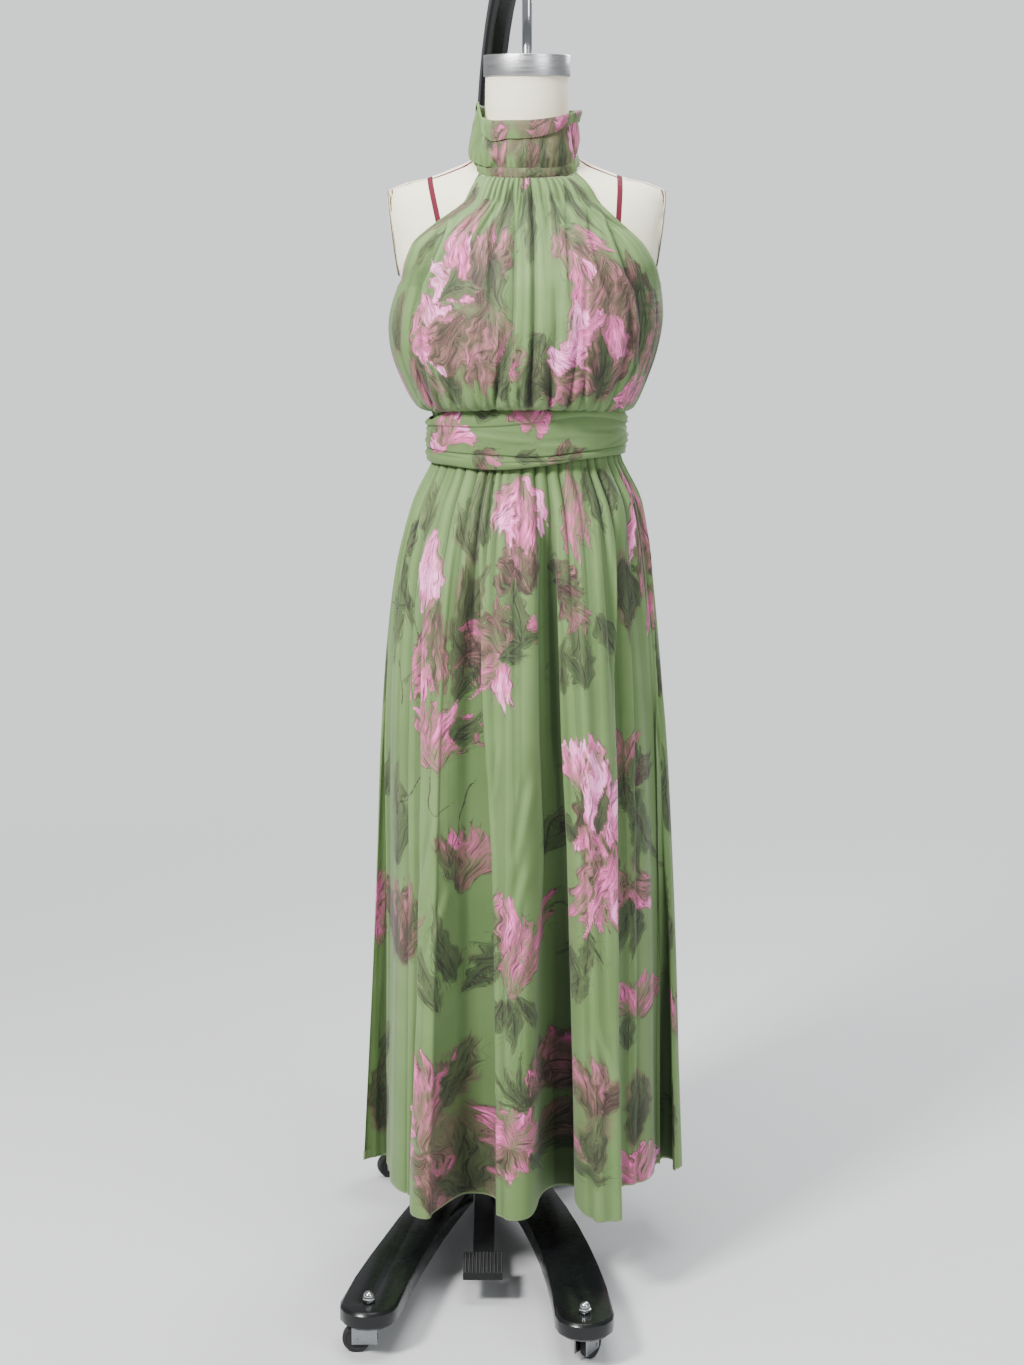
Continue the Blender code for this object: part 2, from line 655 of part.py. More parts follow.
# ---------------------------------------------------------------- the form
def lathe_into(bm, profile, sides, phase=0.0):
    """Turn a profile of (radius, z), listed top to bottom, into a closed solid about Z."""
    rings = []
    for radius, z in profile:
        if radius == 0.0:
            rings.append([bm.verts.new((0.0, 0.0, z))])
            continue
        turns = [phase + 2.0 * math.pi * i / sides for i in range(sides)]
        ring = [(radius * math.cos(a), radius * math.sin(a), z) for a in turns]
        rings.append([bm.verts.new(p) for p in ring])
    for upper, lower in zip(rings, rings[1:]):
        for i in range(sides):
            j = (i + 1) % sides
            quad = [upper[i % len(upper)], lower[i % len(lower)]]
            quad += [lower[j % len(lower)], upper[j % len(upper)]]
            unique = list(dict.fromkeys(quad))
            bm.faces.new(unique)
    for ring in (rings[0], rings[-1]):
        if len(ring) > 1:
            bm.faces.new(ring)


def turned(name, profile, sides, kind, place, phase=0.0):
    bm = bmesh.new()
    lathe_into(bm, profile, sides, phase)
    obj = add_object(name, bm, kind)
    obj.location = place
    return obj


def dress_form():
    """The torso from the hips to the neck's top, closed and smooth."""
    bm = bmesh.new()
    rings = []
    for section in FORM_SECTIONS:
        z = section[0]
        ring = []
        for i in range(FORM_SIDES):
            angle = 2.0 * math.pi * i / FORM_SIDES
            reach = form_reach(angle, z)
            x, y = reach * math.sin(angle), -reach * math.cos(angle)
            x = math.copysign(min(abs(x), plate_x(z)), x)
            ring.append(bm.verts.new((x, y, z)))
        rings.append(ring)
    for lower, upper in zip(rings, rings[1:]):
        for i in range(FORM_SIDES):
            j = (i + 1) % FORM_SIDES
            bm.faces.new((lower[i], lower[j], upper[j], upper[i]))
    bm.faces.new(list(reversed(rings[0])))
    bm.faces.new(rings[-1])
    add_object("form", bm, "linen", 50.0)


def armhole_plates():
    """An oval plate on the flat of each armhole."""
    y0, z0 = PLATE_CENTRE_YZ
    for side, name in ((-1.0, "left"), (1.0, "right")):
        bm = bmesh.new()
        faces = []
        for out in (GAP, GAP + PLATE_THICKNESS):
            ring = []
            for i in range(PLATE_SIDES):
                angle = side * 2.0 * math.pi * i / PLATE_SIDES
                y = y0 + PLATE_HALF_DEPTH * math.cos(angle)
                z = z0 + PLATE_HALF_HEIGHT * math.sin(angle)
                ring.append(bm.verts.new((side * (plate_x(z) + out), y, z)))
            faces.append(ring)
        near, far = faces
        for i in range(PLATE_SIDES):
            j = (i + 1) % PLATE_SIDES
            bm.faces.new((near[i], near[j], far[j], far[i]))
        bm.faces.new(list(reversed(near)))
        bm.faces.new(far)
        add_object(f"armhole_plate_{name}", bm, "linen")


def neck_cap():
    height = CAP_TOP_Z - CAP_BOTTOM_Z
    profile = [
        (CAP_RADIUS - CAP_RIM, height),
        (CAP_RADIUS, height - CAP_EASE),
        (CAP_RADIUS, 0.0),
    ]
    turned("neck_cap", profile, CAP_SIDES, "steel", (0.0, 0.0, CAP_BOTTOM_Z))


# ---------------------------------------------------------------- the stand
def rounded_square(side, corner, per_corner=3):
    """Outline of a square with round corners, counter-clockwise from above."""
    points = []
    for k in range(4):
        middle = math.pi / 4.0 + k * math.pi / 2.0
        cx = (side / 2.0 - corner) * math.copysign(1.0, math.cos(middle))
        cy = (side / 2.0 - corner) * math.copysign(1.0, math.sin(middle))
        for i in range(per_corner):
            angle = k * math.pi / 2.0 + math.pi / 2.0 * i / (per_corner - 1)
            points.append((cx + corner * math.cos(angle), cy + corner * math.sin(angle)))
    return points


def prism_into(bm, outline, low, high):
    """A closed prism of an outline between two heights."""
    bottom = [bm.verts.new((x, y, low)) for x, y in outline]
    top = [bm.verts.new((x, y, high)) for x, y in outline]
    count = len(outline)
    for i in range(count):
        j = (i + 1) % count
        bm.faces.new((bottom[i], bottom[j], top[j], top[i]))
    bm.faces.new(list(reversed(bottom)))
    bm.faces.new(top)


def square_tube(name, outer_side, inner_side, low, high, kind):
    """An upright tube of square section, open at both ends."""
    outer = rounded_square(outer_side, TUBE_CORNER)
    inner = rounded_square(inner_side, INNER_CORNER)
    levels = (high, low)
    outside = [[Vector((x, y, z)) for x, y in outer] for z in levels]
    inside = [[Vector((x, y, z)) for x, y in inner] for z in levels]
    obj = add_object(name, wall_mesh(outside, inside, True), kind)
    obj.location = (*GANTRY_XY, 0.0)
    return obj


def uprights():
    """The fixed upright with its foot socket, and the upright that slides in it."""
    slide = INNER_TUBE + 2.0 * RUNNING_GAP
    square_tube("upright_fixed", TUBE, slide, BASE_TOP_Z + GAP, SLIDE_SPLIT_Z, "black")
    socket_inner = TUBE + 2.0 * GAP
    socket_outer, socket_top = TUBE + 2.0 * SOCKET_WALL, BASE_TOP_Z + SOCKET_HEIGHT
    square_tube(
        "upright_socket", socket_outer, socket_inner, BASE_TOP_Z + GAP, socket_top, "black"
    )
    bm = bmesh.new()
    outline = rounded_square(INNER_TUBE, INNER_CORNER)
    wide = rounded_square(TUBE, TUBE_CORNER)
    low, step = SLIDE_SPLIT_Z - SLIDE_LAP, SLIDE_SPLIT_Z + GAP
    levels = [(outline, low), (outline, step), (wide, step), (wide, ARM_START_Z - GAP)]
    rings = [[bm.verts.new((x, y, z)) for x, y in shape] for shape, z in levels]
    for lower, upper in zip(rings, rings[1:]):
        for i in range(len(outline)):
            j = (i + 1) % len(outline)
            bm.faces.new((lower[i], lower[j], upper[j], upper[i]))
    bm.faces.new(list(reversed(rings[0])))
    bm.faces.new(rings[-1])
    upright = add_object("upright_sliding", bm, "black")
    upright.location = (*GANTRY_XY, 0.0)


def gantry_arm():
    """The arm: a quarter ellipse from the upright's top to a nose over the neck."""
    start = Vector((*GANTRY_XY, 0.0))
    forward = -start.normalized()
    sideways = Vector((0.0, 0.0, 1.0)).cross(forward)
    reach, rise = start.length - ARM_LEVEL, ARM_TOP_Z - ARM_START_Z
    nose = ARM_LEVEL + ARM_NOSE
    stations = []
    for i in range(ARM_STEPS + 1):
        t = math.pi / 2.0 * i / ARM_STEPS
        centre = start + forward * (reach * (1.0 - math.cos(t)))
        centre.z = ARM_START_Z + rise * math.sin(t)
        along = forward * (reach * math.sin(t)) + Vector((0, 0, rise * math.cos(t)))
        stations.append((centre, along.normalized()))
    stations.append((stations[-1][0] + forward * nose, forward))
    bm = bmesh.new()
    rings = []
    for centre, along in stations:
        up = along.cross(sideways).normalized()
        ring = [
            bm.verts.new(centre + sideways * y + up * x)
            for x, y in rounded_square(TUBE, ARM_CORNER)
        ]
        rings.append(ring)
    count = len(rings[0])
    for lower, upper in zip(rings, rings[1:]):
        for i in range(count):
            j = (i + 1) % count
            bm.faces.new((lower[i], lower[j], upper[j], upper[i]))
    bm.faces.new(list(reversed(rings[0])))
    bm.faces.new(rings[-1])
    add_object("gantry_arm", bm, "black", 50.0)


def hanging_rod():
    low, high = CAP_TOP_Z + GAP, ARM_TOP_Z - TUBE / 2.0 - GAP
    profile = [(ROD_RADIUS, high - low), (ROD_RADIUS, 0.0)]
    turned("hanging_rod", profile, ROD_SIDES, "steel", (0.0, 0.0, low))


def curved_bar(foot, bend):
    """Outline of a flat bar from the hub along a bent centre line to a round foot."""
    hub, foot, bend = Vector(HUB_XY), Vector(foot), Vector(bend)
    left, right = [], []
    for i in range(BAR_STEPS + 1):
        t = i / BAR_STEPS
        centre = hub * (1 - t) ** 2 + bend * (2 * t * (1 - t)) + foot * t**2
        along = ((bend - hub) * (1 - t) + (foot - bend) * t).normalized()
        across = Vector((-along.y, along.x))
        half = ARM_HALF + (FOOT_HALF - ARM_HALF) * t**3
        left.append(centre + across * half)
        right.append(centre - across * half)
    start = math.atan2(across.y, across.x)
    cap = []
    for i in range(1, FOOT_STEPS):
        angle = start - math.pi * i / FOOT_STEPS
        cap.append(foot + Vector((math.cos(angle), math.sin(angle))) * FOOT_HALF)
    return [tuple(p) for p in reversed(left + cap + right[::-1])]


def flat_plate(name, outline):
    """A plate of the base, its upper and lower edges eased."""
    bm = bmesh.new()
    prism_into(bm, outline, BASE_BOTTOM_Z, BASE_TOP_Z)
    rims = [e for e in bm.edges if abs(e.verts[0].co.z - e.verts[1].co.z) < 1e-6]
    bmesh.ops.bevel(bm, geom=rims, offset=BASE_EASE, segments=1, affect="EDGES")
    return add_object(name, bm, "black")


def cylinder(name, radius, low, high, place, sides=20, kind="black"):
    profile = [(radius, high), (radius, low)]
    return turned(name, profile, sides, kind, (*place, 0.0))


def cross_cylinder(name, radius, half_length, place, sides=16):
    """A cylinder along X, centred on a place."""
    bm = bmesh.new()
    lathe_into(bm, [(radius, half_length), (radius, -half_length)], sides)
    bmesh.ops.rotate(bm, verts=bm.verts, matrix=Matrix.Rotation(math.pi / 2.0, 3, "Y"))
    bmesh.ops.translate(bm, verts=bm.verts, vec=place)
    return add_object(name, bm, "black")


def box(name, low, high, kind="black"):
    bm = bmesh.new()
    outline = [(low[0], low[1]), (high[0], low[1]), (high[0], high[1]), (low[0], high[1])]
    prism_into(bm, outline, low[2], high[2])
    return add_object(name, bm, kind)


def base():
    """The wheeled base: a hub plate, four bent bars and the pedal's two lugs, in one."""
    circle = [
        (HUB_XY[0] + HUB_HALF * math.cos(a), HUB_XY[1] + HUB_HALF * math.sin(a))
        for a in (2.0 * math.pi * i / HUB_SIDES for i in range(HUB_SIDES))
    ]
    body = flat_plate("base", circle)
    for name, (foot, bend, _) in FEET.items():
        boolean(body, flat_plate(name, curved_bar(foot, bend)), "UNION")
    x, y, z = PEDAL_AXIS
    for side in (-1.0, 1.0):
        near = x + side * (PEDAL_HALF + RUNNING_GAP)
        far = near + side * LUG
        low = (min(near, far), y + LUG_FRONT, z + LUG_LOW)
        high = (max(near, far), y + LUG_BACK, z + LUG_HIGH)
        boolean(body, box("lug", low, high), "UNION")
    hole = cross_cylinder("pin_hole", PIN_RADIUS + RUNNING_GAP, CUT_HALF, PEDAL_AXIS)
    boolean(body, hole, "DIFFERENCE")
    slot = box(
        "pedal_slot",
        (x - PEDAL_HALF - RUNNING_GAP, y + SLOT_FRONT, BASE_BOTTOM_Z - SLOT_OVER),
        (x + PEDAL_HALF + RUNNING_GAP, y + SLOT_BACK, BASE_TOP_Z + SLOT_OVER),
    )
    boolean(body, slot, "DIFFERENCE")
    for foot, _, _ in FEET.values():
        hole = cylinder("stem_hole", STEM_RADIUS + RUNNING_GAP, 0.0, 2.0 * BASE_TOP_Z, foot, 12)
        boolean(body, hole, "DIFFERENCE")
    body.data.shade_smooth()
    body.data.set_sharp_from_angle(angle=math.radians(40.0))


def acorn_nuts():
    for name, (foot, _, _) in FEET.items():
        place = (*foot, BASE_TOP_Z + GAP)
        turned(f"nut_{name}", NUT_PROFILE, NUT_SIDES, "steel", place)


def fork_mesh():
    """A caster's fork: bent plate, stem and axle, with the stem on the local Z axis."""
    inside = WHEEL_WIDTH / 2.0 + FORK_GAP
    outside = inside + FORK_SHEET
    top, roof = BASE_BOTTOM_Z - FORK_TOP_GAP, BASE_BOTTOM_Z - FORK_ROOF_DROP
    foot = WHEEL_RADIUS - FORK_FOOT
    outline = [
        (-outside, foot),
        (-inside, foot),
        (-inside, roof),
        (inside, roof),
        (inside, foot),
        (outside, foot),
        (outside, top),
        (-outside, top),
    ]
    bm = bmesh.new()
    near = [bm.verts.new((FORK_TAIL, y, z)) for y, z in outline]
    far = [bm.verts.new((CASTER_TRAIL + FORK_NOSE, y, z)) for y, z in outline]
    for i in range(len(outline)):
        j = (i + 1) % len(outline)
        bm.faces.new((near[i], near[j], far[j], far[i]))
    bm.faces.new(near)
    bm.faces.new(list(reversed(far)))
    body = add_object("fork", bm, "steel")
    stem_low = top - FORK_SHEET / 2.0
    stem = cylinder("stem", STEM_RADIUS, stem_low, BASE_TOP_Z - GAP, (0, 0), STEM_SIDES)
    boolean(body, stem, "UNION")
    bm = bmesh.new()
    half = outside + AXLE_HEAD
    lathe_into(bm, [(AXLE_RADIUS, half), (AXLE_RADIUS, -half)], AXLE_SIDES)
    bmesh.ops.rotate(bm, verts=bm.verts, matrix=Matrix.Rotation(math.pi / 2.0, 3, "X"))
    bmesh.ops.translate(bm, verts=bm.verts, vec=(CASTER_TRAIL, 0.0, WHEEL_RADIUS))
    boolean(body, add_object("axle", bm, "steel"), "UNION")
    mesh = body.data
    mesh.shade_smooth()
    mesh.set_sharp_from_angle(angle=math.radians(40.0))
    mesh.materials.clear()
    mesh.materials.append(material("steel"))
    bpy.data.objects.remove(body, do_unlink=True)
    return mesh


def wheel_mesh():
    """A wheel about the local Y axis, with one flat of its tread straight down."""
    corner = WHEEL_RADIUS / math.cos(math.pi / WHEEL_SIDES)
    half = WHEEL_WIDTH / 2.0
    bore = AXLE_RADIUS + RUNNING_GAP
    eased = corner - TREAD_EASE
    outer = [(eased, -half), (corner, TREAD_EASE - half), (corner, half - TREAD_EASE), (eased, half)]
    section = outer + [(bore, half), (bore, -half)]
    bm = bmesh.new()
    rings = []
    for i in range(WHEEL_SIDES):
        angle = 2.0 * math.pi * (i + 0.5) / WHEEL_SIDES - math.pi / 2.0
        rings.append(
            [bm.verts.new((r * math.cos(angle), w, r * math.sin(angle))) for r, w in section]
        )
    for k in range(WHEEL_SIDES):
        ring, following = rings[k], rings[(k + 1) % WHEEL_SIDES]
        for i in range(len(section)):
            j = (i + 1) % len(section)
            bm.faces.new((ring[i], ring[j], following[j], following[i]))
    wheel = add_object("wheel", bm, "rubber")
    mesh = wheel.data
    bpy.data.objects.remove(wheel, do_unlink=True)
    return mesh


def casters():
    """A fork and a wheel under each foot, the fork turned the way the caster trails."""
    forks, wheels = fork_mesh(), wheel_mesh()
    for name, (foot, _, trail_deg) in FEET.items():
        swivel = bpy.data.objects.new(f"fork_{name}", forks)
        swivel.location = (*foot, 0.0)
        swivel.rotation_euler = (0.0, 0.0, math.radians(trail_deg))
        wheel = bpy.data.objects.new(f"wheel_{name}", wheels)
        wheel.parent = swivel
        wheel.location = (CASTER_TRAIL, 0.0, WHEEL_RADIUS)
        for obj in (swivel, wheel):
            bpy.context.scene.collection.objects.link(obj)


def pedal():
    """The foot pedal: a ribbed pad on a flat lever, and the barrel and pin it hinges on."""
    x, y, z = PEDAL_AXIS
    low, high = z + PAD_LOW, z + PAD_HIGH
    pitch = 2.0 * PAD_HALF / PAD_RIBS
    outline = [(-PAD_HALF, low), (PAD_HALF, low)]
    for i in range(PAD_RIBS):
        right = PAD_HALF - i * pitch
        outline += [(right, high), (right - 0.2 * pitch, high + RIB_HEIGHT)]
        outline += [(right - 0.6 * pitch, high + RIB_HEIGHT), (right - 0.8 * pitch, high)]
    outline.append((-PAD_HALF, high))
    bm = bmesh.new()
    ends = [
        [bm.verts.new((x + u, PEDAL_PAD_Y + side * PAD_LENGTH / 2.0, v)) for u, v in outline]
        for side in (-1.0, 1.0)
    ]
    count = len(outline)
    for i in range(count):
        j = (i + 1) % count
        bm.faces.new((ends[0][i], ends[0][j], ends[1][j], ends[1][i]))
    bm.faces.new(list(reversed(ends[0])))
    bm.faces.new(ends[1])
    body = add_object("pedal", bm, "black")
    lever_front = PEDAL_PAD_Y + PAD_LENGTH / 2.0 - LEVER_LAP
    lever_low = (x - LEVER_HALF, lever_front, z + LEVER_LOW)
    lever = box("lever", lever_low, (x + LEVER_HALF, y, z + LEVER_HIGH))
    boolean(body, lever, "UNION")
    barrel = cross_cylinder("barrel", BARREL_RADIUS, PEDAL_HALF, PEDAL_AXIS, BARREL_SIDES)
    boolean(body, barrel, "UNION")
    pin = cross_cylinder("pin", PIN_RADIUS, PEDAL_HALF + LUG + PIN_HEAD, PEDAL_AXIS)
    boolean(body, pin, "UNION")
    body.data.shade_smooth()
    body.data.set_sharp_from_angle(angle=math.radians(40.0))


def stand_on_origin():
    """Slide the whole part so that the middle of its footprint is at the origin."""
    bpy.context.view_layer.update()
    spots = [
        obj.matrix_world @ Vector(corner)
        for obj in bpy.context.scene.objects
        for corner in obj.bound_box
    ]
    lows = [min(p[k] for p in spots) for k in range(3)]
    highs = [max(p[k] for p in spots) for k in range(3)]
    shift = Vector(((lows[0] + highs[0]) / -2.0, (lows[1] + highs[1]) / -2.0, -lows[2]))
    for obj in bpy.context.scene.objects:
        if obj.parent is None:
            obj.location = obj.location + shift
    print("slid by", tuple(round(value, 6) for value in shift))


def main():
    for obj in list(bpy.data.objects):
        bpy.data.objects.remove(obj, do_unlink=True)
    skirt_piece("front_skirt", -90.0, 90.0)
    skirt_piece("back_skirt", 90.0, 270.0)
    bodice_piece("front_bodice", True)
    bodice_piece("back_bodice", False)
    sash()
    neckband()
    collar()
    collar_buttons()
    dress_form()
    armhole_plates()
    neck_cap()
    hanging_rod()
    gantry_arm()
    uprights()
    base()
    acorn_nuts()
    casters()
    pedal()
    stand_on_origin()


main()
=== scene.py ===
"""Looks of a halter-neck maxi dress on a limbless dress form with a wheeled stand.

Metres, +Z up. The dress is worked out about the form's own upright axis, as it was cut, and
then moved to AXIS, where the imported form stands.
"""

import math

import bmesh
import bpy
import numpy as np
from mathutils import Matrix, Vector


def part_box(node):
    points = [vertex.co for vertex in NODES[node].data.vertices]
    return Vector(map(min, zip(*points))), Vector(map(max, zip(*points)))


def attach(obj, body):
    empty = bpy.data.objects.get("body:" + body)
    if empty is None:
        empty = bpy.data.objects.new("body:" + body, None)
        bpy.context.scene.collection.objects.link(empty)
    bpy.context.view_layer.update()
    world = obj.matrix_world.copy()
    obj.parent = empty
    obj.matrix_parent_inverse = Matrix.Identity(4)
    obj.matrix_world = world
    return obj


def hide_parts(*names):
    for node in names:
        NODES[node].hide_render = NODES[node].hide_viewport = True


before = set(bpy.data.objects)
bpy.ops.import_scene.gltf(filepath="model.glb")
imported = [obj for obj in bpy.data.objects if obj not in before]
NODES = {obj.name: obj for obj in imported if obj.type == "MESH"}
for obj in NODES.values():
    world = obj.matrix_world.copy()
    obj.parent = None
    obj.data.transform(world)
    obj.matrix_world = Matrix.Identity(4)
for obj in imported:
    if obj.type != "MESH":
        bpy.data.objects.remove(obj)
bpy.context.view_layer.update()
AXIS = np.array([0.010977, 0.039972, 0.0])

# ---------------------------------------------------------------- sizes of the dress
HEM_Z = 0.133
WAIST_Z = 1.190
BAND_HEIGHT = 0.012
BAND_SEAM = 0.0005
SKIRT_WIDTH_PER_DEG = 0.0056  # cloth across the skirt for each degree round the waist
SKIRT_STRETCH = 1.5  # the skirt's print is drawn this much wider, as it hangs in folds
BODICE_WIDTH = 0.54  # cloth across one bodice panel before it is gathered
BODICE_TOP_Z = 1.58  # the height that lengths down a bodice panel are measured from
FOLD_GROWTH = 1.15  # how late the big folds open on the way down to the hem

FORM_SECTIONS = np.array(
    [
        # z      side    front   back    power
        (0.900, 0.140, 0.090, 0.098, 2.2),
        (0.915, 0.158, 0.102, 0.112, 2.2),
        (1.000, 0.164, 0.106, 0.120, 2.2),
        (1.080, 0.147, 0.099, 0.110, 2.1),
        (1.110, 0.1320, 0.0945, 0.0990, 2.0),
        (1.140, 0.1240, 0.0915, 0.0925, 2.0),
        (WAIST_Z, 0.121, 0.090, 0.090, 2.0),
        (1.250, 0.126, 0.096, 0.095, 2.1),
        (1.300, 0.135, 0.108, 0.100, 2.3),
        (1.350, 0.143, 0.118, 0.103, 2.5),
        (1.392, 0.158, 0.112, 0.103, 2.3),
        (1.400, 0.1695, 0.110, 0.103, 2.2),
        (1.420, 0.1830, 0.105, 0.103, 2.2),
        (1.440, 0.1880, 0.100, 0.102, 2.1),
        (1.485, 0.1940, 0.086, 0.098, 2.0),
        (1.5155, 0.1960, 0.069, 0.086, 1.7),
        (1.530, 0.135, 0.0625, 0.079, 1.3),
        (1.545, 0.095, 0.0585, 0.072, 1.15),
        (1.5545, 0.0735, 0.0570, 0.067, 1.5),
        (1.566, 0.0620, 0.0555, 0.0620, 2.0),
        (1.600, 0.0560, 0.0550, 0.0570, 2.0),
        (1.6617, 0.0550, 0.0550, 0.0550, 2.0),
    ]
)
BODICE_SIDES = [
    # side_z  centre_z left_x  right_x side_y  front_y  back_y
    (1.385, 1.385, 0.1745, 0.1805, -0.011, -0.136, 0.120),
    (1.345, 1.345, 0.186, 0.184, 0.004, -0.146, 0.128),
    (1.300, 1.300, 0.183, 0.176, 0.006, -0.149, 0.128),
    (1.255, 1.262, 0.166, 0.160, 0.006, -0.145, 0.124),
    (1.230, 1.240, 0.151, 0.148, 0.005, -0.134, 0.116),
    (1.2225, 1.2330, 0.139, 0.139, 0.003, -0.113, 0.106),
    (1.2185, 1.2290, 0.1290, 0.1290, 0.001, -0.0985, 0.0985),
    (1.1920, 1.1920, 0.1234, 0.1234, 0.000, -0.0924, 0.0924),
]
FRONT_ARMHOLE = [
    # edge_z  centre_z left_x  right_x edge_y  centre_y
    (1.5317, 1.5317, 0.0625, 0.0640, -0.0345, -0.0705),
    (1.503, 1.503, 0.081, 0.092, -0.050, -0.0840),
    (1.475, 1.475, 0.119, 0.122, -0.064, -0.0960),
    (1.450, 1.450, 0.149, 0.150, -0.064, -0.1080),
    (1.4225, 1.4225, 0.162, 0.169, -0.052, -0.1200),
    (1.400, 1.402, 0.168, 0.177, -0.028, -0.1300),
]
BACK_ARMHOLE = [
    (1.5676, 1.5737, 0.0560, 0.0560, 0.0400, 0.0665),
    (1.530, 1.540, 0.070, 0.072, 0.074, 0.0900),
    (1.490, 1.500, 0.100, 0.104, 0.090, 0.1060),
    (1.450, 1.460, 0.134, 0.138, 0.082, 0.1120),
    (1.4225, 1.430, 0.154, 0.160, 0.060, 0.1150),
    (1.400, 1.404, 0.166, 0.174, 0.030, 0.1180),
]
SKIRT_SECTIONS = np.array(
    [
        # z     left_x  right_x front_y back_y
        (1.1917, 0.1238, 0.1238, 0.0928, 0.0928),
        (1.1600, 0.1268, 0.1268, 0.0960, 0.0960),
        (1.1440, 0.1325, 0.1325, 0.1020, 0.1015),
        (1.1060, 0.1520, 0.1520, 0.1220, 0.1230),
        (1.0650, 0.1660, 0.1620, 0.1370, 0.1380),
        (1.0020, 0.1810, 0.1710, 0.1500, 0.1500),
        (0.8970, 0.1940, 0.1830, 0.1610, 0.1600),
        (0.7540, 0.2040, 0.1960, 0.1700, 0.1700),
        (0.6090, 0.2095, 0.2050, 0.1780, 0.1780),
        (0.4500, 0.2170, 0.2130, 0.1860, 0.1850),
        (0.2900, 0.2260, 0.2190, 0.1930, 0.1920),
        (HEM_Z, 0.2350, 0.2260, 0.1990, 0.1980),
    ]
)
SEAM_Z = float(SKIRT_SECTIONS[0, 0])
SKIRT_LENGTH = SEAM_Z - HEM_Z
# The hem's line from above: crests and valleys of the folds, by the place on the waist that
# each hangs from. The front's sharp-sided folds take several rows each.
HEM_LINE = [
    # angle   x       y
    (-90.0, -0.2350, 0.0100),
    (-84.0, -0.2210, 0.0190),
    (-78.0, -0.2020, 0.0140),
    (-73.0, -0.1975, -0.0240),
    (-67.0, -0.1905, -0.0740),
    (-61.0, -0.1780, -0.1060),
    (-55.0, -0.1650, -0.1180),
    (-50.0, -0.1560, -0.1230),
    (-45.5, -0.1610, -0.1560),
    (-41.0, -0.1560, -0.1870),
    (-36.0, -0.1330, -0.1950),
    (-32.0, -0.1190, -0.1680),
    (-28.0, -0.1040, -0.1360),
    (-24.0, -0.0840, -0.1180),
    (-20.5, -0.0620, -0.1250),
    (-17.0, -0.0500, -0.1580),
    (-12.5, -0.0370, -0.1890),
    (-6.5, -0.0140, -0.2030),
    (-1.0, 0.0060, -0.1900),
    (3.5, 0.0230, -0.1480),
    (7.5, 0.0400, -0.1080),
    (11.0, 0.0560, -0.0960),
    (14.0, 0.0690, -0.1240),
    (17.0, 0.0760, -0.1720),
    (21.0, 0.0900, -0.2020),
    (27.0, 0.1120, -0.2090),
    (32.5, 0.1310, -0.1950),
    (36.5, 0.1390, -0.1620),
    (39.5, 0.1370, -0.1180),
    (42.5, 0.1380, -0.0900),
    (47.0, 0.1500, -0.0820),
    (52.5, 0.1690, -0.0720),
    (58.0, 0.1820, -0.0420),
    (63.0, 0.1880, -0.0080),
    (68.0, 0.1960, 0.0000),
    (74.0, 0.2080, -0.0240),
    (80.0, 0.2180, -0.0290),
    (85.0, 0.2250, -0.0140),
    (90.0, 0.2260, 0.0080),
    (97.0, 0.2120, 0.0330),
    (104.0, 0.2000, 0.0480),
    (111.0, 0.2020, 0.0860),
    (118.0, 0.1920, 0.1120),
    (124.0, 0.1680, 0.1060),
    (130.0, 0.1500, 0.1040),
    (136.0, 0.1450, 0.1480),
    (143.0, 0.1280, 0.1800),
    (150.0, 0.0990, 0.1560),
    (156.0, 0.0800, 0.1220),
    (161.0, 0.0690, 0.1550),
    (168.0, 0.0450, 0.1940),
    (175.0, 0.0160, 0.1760),
    (180.0, -0.0020, 0.1520),
    (185.0, -0.0200, 0.1720),
    (192.0, -0.0500, 0.1960),
    (199.0, -0.0740, 0.1640),
    (205.0, -0.0900, 0.1240),
    (211.0, -0.1120, 0.1480),
    (218.0, -0.1330, 0.1760),
    (225.0, -0.1490, 0.1420),
    (231.0, -0.1580, 0.1060),
    (238.0, -0.1800, 0.1100),
    (244.0, -0.1960, 0.1040),
    (251.0, -0.2050, 0.0720),
    (257.0, -0.2030, 0.0460),
    (264.0, -0.2180, 0.0260),
]
